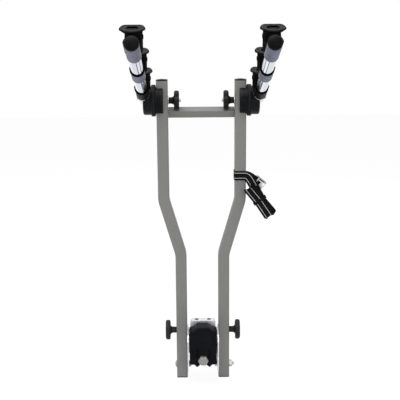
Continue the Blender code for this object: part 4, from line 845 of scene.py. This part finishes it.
def dish_top(share, y):
    """The dish's surface at a share of its radius: raised and sunk rings on a shallow trough."""
    for (low, first), (high, second) in zip(DISH_LEVELS, DISH_LEVELS[1:]):
        if share <= high:
            level = first + (second - first) * (share - low) / (high - low)
            break
    trough = min(0.0, TROUGH_RADIUS - TROUGH_SINK - math.sqrt(TROUGH_RADIUS ** 2 - y * y))
    return min(0.0, trough * 0.8 + level) - 0.0001


def dish_under(share):
    return -DISH_RIM - (DISH_THICK - DISH_RIM) * min(1.0, max(0.0, (1 - share) / 0.4))


def dish_mesh(name):
    """The saddle's dish as a polar height field, closed by its underside."""
    steps, rings = 144, 50
    bm = bmesh.new()
    upper, lower = [], []
    for index in range(1, rings + 1):
        share = index / rings
        round_off = 0.0008 * max(0.0, (share - 0.955) / 0.045) ** 2
        ring_up, ring_down = [], []
        for step in range(steps):
            turn = math.tau * step / steps
            r = dish_edge(turn) * share
            x, y = r * math.cos(turn), r * math.sin(turn)
            height = dish_top(share, y)
            ring_up.append(bm.verts.new((x, y, height - round_off)))
            ring_down.append(bm.verts.new((x, y, min(dish_under(share), height - 0.0018))))
        upper.append(ring_up)
        lower.append(ring_down)
    strips = [(upper[-1], lower[-1])]
    for rings_of, z in ((upper, dish_top(0, 0)), (lower, dish_under(0))):
        join_rings(bm, [bm.verts.new((0, 0, z))], rings_of[0])
        strips += zip(rings_of, rings_of[1:])
    for first, second in strips:
        join_rings(bm, first, second)
    return to_mesh(bm, name, 50.0)


def mark_painted_light(mesh, on_dish):
    """Store each saddle point's painted light: most on the dish top, little in the groove and at the edge as
    painted shade, none in the slot.
    """
    layer = mesh.attributes.new("painted_top_light", "FLOAT", "POINT")
    back = on_dish.inverted()
    slack = 0.0002
    for vert, value in zip(mesh.vertices, layer.data):
        point = back @ vert.co
        share = math.hypot(point.x, point.y) / dish_edge(math.atan2(point.y, point.x))
        in_slot = (abs(point.x) < SLOT_FAR / 2 + slack and SLOT_NEAR_Y - slack < point.y < SLOT_FAR_Y + slack
                   and point.z < -0.0012)
        if point.z > -0.0062 and not in_slot:
            value.value = next((painted_lit for limit, painted_lit in PAINTED_LIGHT_LEVELS if share < limit), 0.0)


@functools.cache
def saddle_form(side, reach):
    """One saddle, its origin on the arm's axis at the cradle's middle; the reach moves its ring forward.

    It is made for the left arm, and its mirror image is the right one.
    """
    tube = ARM_RADIUS + GAP
    bore = tube + SLEEVE_WALL + GAP
    half = NECK_WIDTH / 2
    front = SLEEVE_LENGTH / 2 + reach + (SLEEVE_PROUD if reach else 0.0)
    on_dish = Matrix.Translation((-DISH_OUT, DISH_SHIFT, DISH_HEIGHT)) @ Matrix.Rotation(DISH_TILT, 4, "X")
    neck = box("saddle_neck", (-half, NECK_FRONT, NECK_FOOT), (half, NECK_REAR, DISH_HEIGHT + 0.01))
    above = box("saddle_above", (-0.05, -0.08, -DISH_RIM - 0.001), (0.05, 0.08, 0.06), on_dish)
    soften(combine(neck, "DIFFERENCE", above), 0.0028, 4, 50.0)
    lug = box("saddle_lug", (half - LUG_IN, LUG_Y[0], LUG_Z[0]), (half + LUG_OUT, LUG_Y[1], LUG_Z[1]))
    combine(neck, "UNION", soften(lug, 0.0012, 3))
    outer, rear = bore + SHELL_WALL, 0.005 - NECK_REAR
    profile = near(0.0, front, (0, -0.8)) + near(outer, front, (-0.6, -0.8), (0, -1.4))
    profile += near(outer, rear, (0, 0.6), (-0.6, 0)) + [(0, rear)]
    shell = lathe("saddle_shell", profile, TO_FRONT, 96)
    combine(shell, "DIFFERENCE", box("shell_trim", (-0.05, -0.1, -0.05), (0.05, 0.1, SHELL_EDGE)))
    dish = place("saddle_dish", dish_mesh("saddle_dish"), on_dish)
    broad, wide = (RING_RADIUS, RING_WIDTH) if not reach else (bore - GAP, SLIM_RING)
    profile = [(0, front)]
    edge = wide * 0.16
    for inset, share in ((edge, 0), (0.0001, 0.12), (0, 0.3), (0, 0.7), (0.0001, 0.88), (edge, 1)):
        profile.append((broad - inset, front - wide * share))
    ring = lathe("saddle_ring", profile + [(0, front - wide)], TO_FRONT, 96)
    pegs = []
    for sign, seat in ((1, half + STRAP_NEAR + STRAP_BODY + 0.0003), (-1, half - 0.0007)):
        profile = near(0.0, seat, (0, 1.1), (4.0, 1.0), (5.2, 0.6), (5.5, 0), (3.6, 0))
        profile += near(0.0, half, (3.6, -2.0), (0, -2.0))
        pegs.append(lathe("saddle_peg", profile, Matrix.Translation((0, 0, PEG_HEIGHT))
                          @ Matrix.Rotation(QUARTER * sign, 4, "Y"), 36))
    combine(neck, "UNION", shell, dish, ring, *pegs)
    rooms = [lathe("saddle_bore", [(0, top), (radius, top), (radius, foot), (0, foot)], TO_FRONT, 72)
             for radius, top, foot in ((bore, front - wide, -0.05), (tube, 0.06, -0.06))]
    outline = [(-SLOT_NEAR / 2, SLOT_NEAR_Y), (SLOT_NEAR / 2, SLOT_NEAR_Y),
               (SLOT_FAR / 2, SLOT_FAR_Y), (-SLOT_FAR / 2, SLOT_FAR_Y)]
    combine(neck, "DIFFERENCE", *rooms, slab("saddle_slot", outline, 2 * SLOT_DEPTH, on_dish))
    mesh = neck.data
    mark_painted_light(mesh, on_dish)
    bpy.data.objects.remove(neck)
    if side > 0:
        mesh.transform(Matrix.Diagonal((-1.0, 1.0, 1.0, 1.0)))
        mesh.flip_normals()
    mesh.set_sharp_from_angle(angle=math.radians(40))
    return mesh


@functools.cache
def strap_form():
    """A moulded rubber strap: an eye at each end and a narrower ribbed middle, with rounded edges."""
    tail, shoulder = -STRAP_SPAN, 0.0080
    outline = arc((0, 0), STRAP_HALF, -35, 215, 20)
    outline += [(-STRAP_WAIST, -shoulder), (-STRAP_WAIST, tail + shoulder)]
    outline += arc((0, tail), STRAP_HALF, 145, 395, 20)
    outline += [(STRAP_WAIST, tail + shoulder), (STRAP_WAIST, -shoulder)]
    eyes = [arc((0, y), STRAP_EYE, 0, 350, 35) for y in (0, tail)]
    strap = slab("strap_form", outline, STRAP_BODY, Matrix.Identity(4), *eyes)
    soften(strap, 0.0005, 3, 50.0)
    ribs = []
    for index in range(3):
        y = tail / 2 + (index - 1) * 0.0026
        ribs.append(box("strap_rib", (-0.0038, y - 0.0006, -STRAP_BODY / 2 - 0.0001),
                        (0.0038, y + 0.0006, STRAP_BODY / 2 + 0.0001)))
    mesh = combine(strap, "UNION", *ribs).data
    bpy.data.objects.remove(strap)
    mesh.transform(Matrix.Rotation(QUARTER, 4, "Z") @ TO_FRONT)
    return mesh


def cradle(name, side, index, front):
    """A sleeve, a saddle and a strap; the last cradle's sleeve and ring go on to the arm's end."""
    body = name + "_arm"
    reach = ARM_END - front if index == len(CRADLE_FRONTS) else 0.0
    bore = ARM_RADIUS + GAP
    outer = bore + SLEEVE_WALL
    start = reach + SLEEVE_PROUD - SLIM_RING - GAP if reach else -RING_WIDTH - GAP
    # The first sleeve runs 3 mm further back, nearly black like the rest of it: painted shade on the chrome
    # behind it
    rear = -SLEEVE_LENGTH - (0.003 if index == 1 else 0.0)
    profile = near(outer, start, (-0.5, 0), (0, -0.5)) + near(outer, rear, (0, 0.8), (-0.3, 0.2), (-0.8, 0))
    sleeve = lathe(f"{name}_sleeve_{index}", profile + [(bore, rear), (bore, start)],
                   along_arm(side) @ Matrix.Translation((0, 0, front)), 96, True)
    finish_piece(sleeve, body, "shaded_sleeve" if index == 1 else "sleeve", f"{name}_cradle_sleeve_{index}")
    at = arm_matrix(side) @ Matrix.Translation((0, SLEEVE_LENGTH / 2 - front, 0))
    saddle = place(f"{name}_saddle_{index}", saddle_form(side, reach).copy(), at)
    finish_piece(saddle, body, "saddle", f"{name}_cradle_saddle_{index}")
    beside = NECK_WIDTH / 2 + STRAP_NEAR + STRAP_BODY / 2
    hang = at @ Matrix.Translation((-side * beside, 0, PEG_HEIGHT)) @ Matrix.Rotation(ARM_RISE, 4, "X")
    strap = place(f"{name}_strap_{index}", strap_form().copy(), hang)
    finish_piece(strap, f"{name}_rubber_strap_{index}", "rubber", f"{name}_rubber_strap_{index}")


# Coupling
def front_slab(name, outline, front, rear):
    """A slab across Y between two depths."""
    matrix = Matrix.Translation((0, (front + rear) / 2, 0)) @ TO_FRONT
    return slab(name, outline, rear - front, matrix)


def round_front(obj, depth, width, segments):
    """Round the rim of a slab's front face, at local Z = depth."""
    bm = bmesh.new()
    bm.from_mesh(obj.data)
    rim = [edge for edge in bm.edges if all(abs(vert.co.z - depth) < 1e-5 for vert in edge.verts)
           and edge.calc_face_angle(0.0) > 1.0]
    bmesh.ops.bevel(bm, geom=rim, offset=width, offset_type="OFFSET", segments=segments, profile=0.5,
                    affect="EDGES", clamp_overlap=True)
    bm.to_mesh(obj.data)
    bm.free()


def shoulders(inset):
    """The hood's outline below its centre band, with oval shoulders."""
    half, top = HOOD_HALF - inset - 0.0105, HOOD_SHOULDER - inset - 0.0095
    foot = LOBE_BOTTOM - (0.03 if inset else 0.0)
    points = [(half + x * 0.0105, top + z * 0.0095) for x, z in arc((0, 0), 1.0, 0, 90, 10)]
    return mirrored([(half + 0.0105, foot)] + points)


def dome(inset, foot):
    """The centre band's outline: a flat top with slanting sides."""
    low, high = HOOD_SHOULDER - 0.003 - inset, HOOD_TOP - inset
    right = [(BAND_HALF - inset, foot), (BAND_HALF - inset, low)]
    for x, share in ((0.0243, 0.16), (0.0235, 0.32), (0.0190, 0.70), (0.0172, 0.84), (0.0152, 0.94),
                     (0.0128, 0.99), (0.0100, 1.0), (0.0050, 1.0)):
        right.append((x - inset, low + (high - low) * share))
    return mirrored(right)


def hood():
    """The black cover: a hollow shell with a centre band, an arch round the bolt, two ears and two lobes."""
    behind = HOOD_REAR + 0.006
    shell = front_slab("coupling_cover", shoulders(0.0), HOOD_FRONT, behind)
    round_front(shell, (behind - HOOD_FRONT) / 2, 0.005, 7)
    band = front_slab("cover_band", dome(0.0, -0.025), HOOD_FRONT - BAND_PROUD, behind)
    round_front(band, (behind - HOOD_FRONT + BAND_PROUD) / 2, 0.0050, 7)
    hollow = front_slab("cover_hollow", shoulders(HOOD_WALL), HOOD_FRONT + HOOD_WALL, 0.0)
    dome_hollow = front_slab("cover_dome_hollow", dome(HOOD_WALL, -0.05), HOOD_FRONT + HOOD_WALL, 0.0)
    arch_line = near(0.0, 0.0, (9.4, -50), (9.4, -15), (10.6, -12.5), (13.3, -9), (15, -5), (15.5, -1))
    arch = front_slab("cover_arch", mirrored(arch_line + arc((0, 0.0065), 0.0155, 0, 90, 12)),
                      HOOD_FRONT - 0.01, HOOD_FRONT + 0.008)
    lobe = near(0.0, 0.0, (-60, -15), (-24.5, -15), (-22.0, -16.6), (-19.6, -19.0), (-18.0, -20.5),
                (-16.8, -20.9), (-15.4, -20.4), (-13.0, -18.2), (-10.8, -16.4), (-9.4, -15.0))
    foot = front_slab("cover_foot", mirrored(lobe) + [(0.06, -0.06), (-0.06, -0.06)],
                      HOOD_FRONT - 0.02, 0.02)
    trim = box("cover_trim", (-0.1, HOOD_REAR, -0.1), (0.1, 0.1, 0.2))
    combine(shell, "UNION", band)
    combine(shell, "DIFFERENCE", hollow, dome_hollow)
    ear = arc((0.0163, 0.0265), 0.0042, -10, 190, 12)
    ear += near(0.0, 0.0, (11.8, 20.0), (10.0, 15.0), (15.0, 10.0), (17.2, 8.0), (20.0, 16.0))
    ears = [front_slab("cover_ear", [(sign * x, z) for x, z in ear], HOOD_FRONT - 0.01, HOOD_FRONT + 0.0022)
            for sign in (-1, 1)]
    combine(shell, "DIFFERENCE", arch, *ears, foot, trim)
    shell.data.set_sharp_from_angle(angle=math.radians(32))
    finish_piece(shell, "coupling", "hood", "coupling_hood")


def clamp_bolt():
    """The screw that moves the jaw: hexagon head, flange, threaded shank and a plain tip."""
    def thread(radius, turn, height):
        return radius - thread_depth(0.002, 0.0009, turn, height) if 0.006 < radius < 0.009 else radius

    profile = near(0.0, SCREW_SEAT, (0, 0.5), (8.0, 0.5), (8.0, 0), (11.0, 0), (11.2, -0.2), (11.2, -2.3),
                   (11.0, -2.5))
    profile += bolt_profile(SCREW_RADIUS, SCREW_BOTTOM, SCREW_TOP, 0.0004)
    profile += [(0.005, SCREW_BOTTOM), (0.005, SCREW_TIP), (0, SCREW_TIP)]
    shank = lathe("clamp_screw", profile, TO_FRONT, 40, shape=thread)
    seat = TO_FRONT @ Matrix.Translation((0, 0, SCREW_SEAT)) @ Matrix.Rotation(math.pi / 6, 4, "Z")
    head = combine(hex_head("clamp_screw_head", SCREW_FLATS, SCREW_HEX, seat, 0.08), "UNION", shank)
    finish_piece(head, "clamp_bolt", "bolt", "clamp_bolt")


def side_bolts(name, side):
    """The pivot bolt, with a dome outside on the left and a nut on the right, and the lock bolt."""
    outer = FOOT_HALF + TUBE_SIDE / 2 + GAP
    inner_face = FOOT_HALF - TUBE_SIDE / 2 - 2 * GAP - 0.003
    inside = near(0.0, inner_face, (5.0, 0), (8.5, 0)) + near(0.0, 0.033, (8.5, 0), (0, 0))
    matrix = outward(side, 0, 0, PIVOT_Z)
    if side < 0:
        profile = near(0.0, outer, (0, 4.4), (2.6, 4.4), (5.6, 3.8), (7.8, 2.7), (9.2, 1.4), (9.8, 0.5),
                       (9.8, 0), (5.0, 0)) + inside
        pivot = lathe(name + "_pivot_stud", profile, matrix, 60)
    else:
        nut, tip = 0.0075, outer + 0.0132
        profile = near(0.0, tip, (0, 0), (4.1, 0), (4.6, -0.6))
        profile += bolt_profile(0.005, outer + nut - 0.001, tip - 0.0007, 0.0004) + inside
        shank = lathe(name + "_pivot_stud", profile, matrix, 40,
                      shape=thread_shape(0.0015, 0.0005, outer + nut, tip))
        pivot = hex_head(name + "_pivot_nut", 0.017, nut, matrix @ Matrix.Translation((0, 0, outer)))
        combine(pivot, "UNION", shank)
    finish_piece(pivot, "frame", "bolt" if side < 0 else "zinc", name + "_pivot_bolt")
    profile = near(0.0, LOCK_SEAT + LOCK_STEM + KNOB_HEAD - 0.0075, (0, 0), (3.2, 0), (3.9, -0.7))
    profile += near(0.0, inner_face, (3.9, 0), (6.6, 0), (7.0, -0.4), (7.0, -1.4), (6.6, -1.8), (0, -1.8))
    lock = lathe(name + "_lock_stud", profile, outward(side, 0, 0, LOCK_Z), 48)
    finish_piece(lock, "frame", "zinc", name + "_lock_bolt")


def coupling():
    for node, look in (("coupling_bracket", "bracket"), ("clamp_housing", "cast"), ("clamp_jaw", "cast")):
        solid = frame["nodes"][node]
        solid.data.materials.clear()
        solid.data.materials.append(LOOKS[look][1])
    hood()
    clamp_bolt()


# Webbing
def run_point(run, share):
    """A point on a folded run's middle line, a share of the way down; every run bends at its waist."""
    part = run / (HANK_RUNS - 1)
    marks = [Vector(back).lerp(Vector(front), part) for back, front in zip(HANK_BACK_RUN, HANK_FRONT_RUN)]
    top, waist, foot = (Vector((TOP_HALF + x, 0, z)) for x, z in marks)
    upper = waist + (top - waist).normalized() * 0.012
    lower = waist + (foot - waist).normalized() * 0.012
    if share < 0.4:
        return top.lerp(upper, share / 0.4)
    if share > 0.6:
        return lower.lerp(foot, (share - 0.6) / 0.4)
    turn = (share - 0.4) / 0.2
    return upper.lerp(waist, turn).lerp(waist.lerp(lower, turn), turn)


def run_depth(run, share):
    """How far forward a run lies; the tie squeezes them together at the waist."""
    middle = (HANK_RUNS - 1) / 2
    waist = math.exp(-((share - 0.5) / 0.2) ** 2)
    return HANK_BACK_Y - HANK_PITCH * (middle + (run - middle) * (1 - HANK_SQUEEZE * waist))


def eased(share):
    return share * share * (3 - 2 * share)


def wrap_stations():
    """From the buckle to the upright and once round it, a little lower behind than in front."""
    offset = TUBE_SIDE / 2 + WRAP_GAP + WEB_THICKNESS / 2
    radius = TUBE_CORNER + WRAP_GAP + WEB_THICKNESS / 2
    inner = offset - radius
    along = Vector((math.cos(BUCKLE_LEAN), 0, -math.sin(BUCKLE_LEAN)))

    def tilted(share):
        return Vector((math.tan(BUCKLE_LEAN) * share, 0, 1)).normalized()

    stations = [(BUCKLE_AT + along * ahead, tilted(1)) for ahead in (0.009, 0, -0.0100, -0.0182)]
    lead = stations[-1][0]
    first = Vector((TOP_HALF + 0.0180, 0.0085, WRAP_Z - WRAP_DROOP - 0.0008))
    for share in (0.2, 0.4, 0.6, 0.8):
        point = lead.lerp(first, share)
        point.z += (first.z - lead.z) * (eased(share) - share) * 0.8 + 0.0016 * math.sin(math.pi * share)
        stations.append((point, tilted(1 - share)))
    plan = arc((inner, inner), radius, 15, 90, 6) + arc((-inner, inner), radius, 90, 180, 8)
    plan += arc((-inner, -inner), radius, 180, 270, 8) + [(0.0, -offset), (inner, -offset)]
    for x, y in plan:
        droop = WRAP_DROOP * min(1.0, max(0.0, (x + inner) / (2 * inner))) if y > 0 else 0.0
        stations.append((Vector((TOP_HALF + x, y, WRAP_Z - droop)), Vector((0, 0, 1))))
    return stations


def lead_stations():
    """From the upright's front down to the first run, along a cubic curve."""
    waist = run_point(0, 0.4)
    start = Vector((TOP_HALF + TUBE_SIDE / 2 - 0.001, 0, WRAP_Z))
    drop = Vector((0.62, 0, -1.0)).normalized()
    points = (start, start + Vector((0.010, 0, -0.0015)), waist - drop * 0.027, waist)
    front = -(TUBE_SIDE / 2 + WRAP_GAP + WEB_THICKNESS / 2)
    stations = []
    for step in range(1, 14):
        share = step / 14
        rest = 1 - share
        weights = (rest ** 3, 3 * rest * rest * share, 3 * rest * share * share, share ** 3)
        centre = sum((point * weight for point, weight in zip(points, weights)), Vector())
        centre.y = front + (run_depth(0, 0.4) - front) * eased(share)
        slopes = ((points[1] - points[0]) * (rest * rest) + (points[2] - points[1]) * (2 * rest * share)
                  + (points[3] - points[2]) * (share * share))
        stations.append((centre, Vector((-slopes.z, 0, slopes.x)).normalized()))
    return stations


def hank_stations():
    """Down and up the folded runs, with a half turn between each two."""
    stations = []
    fine = [index / 20 for index in range(21)]
    for run in range(HANK_RUNS):
        down = run % 2 == 0
        for share in fine[8 if run == 0 else 0:] if down else reversed(fine):
            centre = run_point(run, share)
            centre.y = run_depth(run, share)
            ahead = run_point(run, min(share + 0.05, 1.0)) - run_point(run, max(share - 0.05, 0.0))
            stations.append((centre, Vector((-ahead.z, 0, ahead.x)).normalized()))
        if run == HANK_RUNS - 1:
            break
        end = 1.0 if down else 0.0
        start, across = stations[-1]
        heading = (start - stations[-2][0]).normalized()
        heading.y = 0.0
        finish = run_point(run + 1, end)
        finish.y = run_depth(run + 1, end)
        for step in range(1, 8):
            turn = math.pi * step / 8
            centre = start.lerp(finish, (1 - math.cos(turn)) / 2)
            stations.append((centre + heading * (HANK_PITCH / 2 * math.sin(turn)), across))
    return stations


def ribbon(name, stations, width, thickness):
    """A woven band swept along stations, its UV map in metres across and along."""
    columns = [-0.5, -0.485, -0.42, -0.25, 0.0, 0.25, 0.42, 0.485, 0.5]
    section = [(share * width, thickness / 2 * (0.55 if abs(share) > 0.49 else 1.0)) for share in columns]
    section += [(u, -v) for u, v in reversed(section)]
    bm = bmesh.new()
    layer = bm.loops.layers.uv.new("ribbon")
    rings, lengths = [], []
    travelled = 0.0
    last = len(stations) - 1
    for index, (centre, across) in enumerate(stations):
        if index:
            travelled += (centre - stations[index - 1][0]).length
        ahead = stations[min(index + 1, last)][0] - stations[max(index - 1, 0)][0]
        across = (across - ahead * across.dot(ahead) / ahead.length_squared).normalized()
        normal = ahead.cross(across).normalized()
        rings.append([bm.verts.new(centre + across * u + normal * v) for u, v in section])
        lengths.append(travelled)
    count = len(section)
    for index, (first, second) in enumerate(zip(rings, rings[1:])):
        for step in range(count):
            after = (step + 1) % count
            face = bm.faces.new((first[step], first[after], second[after], second[step]))
            marks = ((step, index), (after, index), (after, index + 1), (step, index + 1))
            for loop, (column, row) in zip(face.loops, marks):
                loop[layer].uv = (section[column][0], lengths[row])
    for ring, row in ((rings[0], 0), (rings[-1], -1)):
        face = bm.faces.new(ring)
        for loop, (u, v) in zip(face.loops, section):
            loop[layer].uv = (u, lengths[row])
    return place(name, to_mesh(bm, name, 60.0)), travelled


def strap_and_buckle():
    stations = wrap_stations() + lead_stations() + hank_stations()
    band, length = ribbon("webbing_ribbon", stations, WEB_WIDTH, WEB_THICKNESS)
    finish_piece(band, "frame", "webbing", "webbing_strap")
    tie = hank_tie()
    pieces = buckle()


def hank_tie():
    """The rubber ring round the folded runs, square to them at their waist."""
    back, front = run_point(0, 0.5), run_point(HANK_RUNS - 1, 0.5)
    near_y, far_y = run_depth(HANK_RUNS - 1, 0.5), run_depth(0, 0.5)
    centre = back.lerp(front, 0.5)
    ahead = run_point(HANK_RUNS // 2, 0.55) - run_point(HANK_RUNS // 2, 0.45)
    depth = far_y - near_y + WEB_THICKNESS + 0.0007
    width = WEB_WIDTH + (back - front).length + 0.0025
    matrix = (Matrix.Translation((centre.x, (near_y + far_y) / 2, centre.z))
              @ Matrix.Rotation(QUARTER - math.atan2(ahead.z, ahead.x), 4, "Y"))
    tie = slab("webbing_tie", rounded(width + 0.003, depth + 0.003, 0.0027), 0.006, matrix,
               rounded(width, depth, 0.0012))
    return finish_piece(soften(tie, 0.0005, 3, 50.0), "frame", "rubber", "hank_tie")


def buckle():
    """A slotted frame behind the band with two cheeks, and a lever: a roller, two arms and a plate."""
    matrix = Matrix.Translation(BUCKLE_AT) @ Matrix.Rotation(BUCKLE_LEAN, 4, "Y")
    half = WEB_WIDTH / 2 + BUCKLE_BESIDE
    back = WEB_THICKNESS / 2 + GAP + BUCKLE_SHEET / 2
    base = slab("cam_frame", rounded(BUCKLE_LENGTH, 2 * half, 0.0035), BUCKLE_SHEET,
                matrix @ Matrix.Translation((-0.0005, back, 0)) @ TO_FRONT,
                rounded(0.0130, WEB_WIDTH - 0.006, 0.0015))
    cheek = [(-0.0115, back), (-0.0115, -0.0018)] + arc((-0.0085, -0.0024), 0.003, 180, 270, 6)
    cheek += arc((0.0040, -0.0012), 0.0042, 270, 360, 8) + [(0.0110, 0.0004), (0.0130, back)]
    cheeks = [slab("cam_cheek", cheek, BUCKLE_SHEET, matrix @ Matrix.Translation((0, 0, z)))
              for z in (BUCKLE_SHEET / 2 - half, half - BUCKLE_SHEET / 2)]
    combine(base, "UNION", *cheeks)
    finish_piece(soften(base, 0.0003, 2, 50.0), "frame", "buckle", "buckle_frame")
    pin = ROLLER_RADIUS
    pin_y = -(WEB_THICKNESS / 2 + GAP + pin)
    reach = half - BUCKLE_SHEET - GAP
    profile = [(0, reach), (pin * 0.7, reach), (pin, reach - 0.0005), (pin, 0.0005 - reach),
               (pin * 0.7, -reach), (0, -reach)]
    lever = lathe("cam_lever", profile, matrix @ Matrix.Translation((-0.0085, pin_y, 0)), 40)
    tilt = Matrix.Translation((0.0092, pin_y - 0.0004, 0)) @ Matrix.Rotation(-0.10, 4, "Z")
    plate = slab("cam_tongue", rounded(0.0125, 0.0210, 0.0028), BUCKLE_SHEET, matrix @ tilt @ TO_FRONT)
    arms = [slab("cam_arm", rounded(0.0150, 0.0030, 0.0012), BUCKLE_SHEET,
                 matrix @ Matrix.Translation((-0.0015, pin_y + 0.0002, sign * 0.0088)) @ TO_FRONT)
            for sign in (-1, 1)]
    combine(plate, "UNION", *arms)
    combine(lever, "UNION", soften(plate, 0.0004, 3, 50.0))
    finish_piece(lever, "frame", "bright", "buckle_lever")
    return base, lever


# Everything
def build():
    uprights()
    for name, side in SIDES.items():
        joint_base(name, side)
        friction_disc(name, side)
        arm_socket(name, side)
        joint_bolt(name, side)
        knob(name + "_upper_knob", outward(-side, -KNOB_SEAT, HUB_Y, HUB_Z), JOINT_STEM, True,
             name + "_joint_knob", "knob", math.radians(30))
        knob(name + "_lower_knob", outward(side, LOCK_SEAT, 0, LOCK_Z), LOCK_STEM, False,
             name + "_lock_knob", "grey_knob", 0.0, 0.0009)
        arm(name, side)
        side_bolts(name, side)
    coupling()
    strap_and_buckle()


SCENE.view_settings.view_transform = "Standard"
make_camera()
make_world()
make_floor()
make_lights()
build()
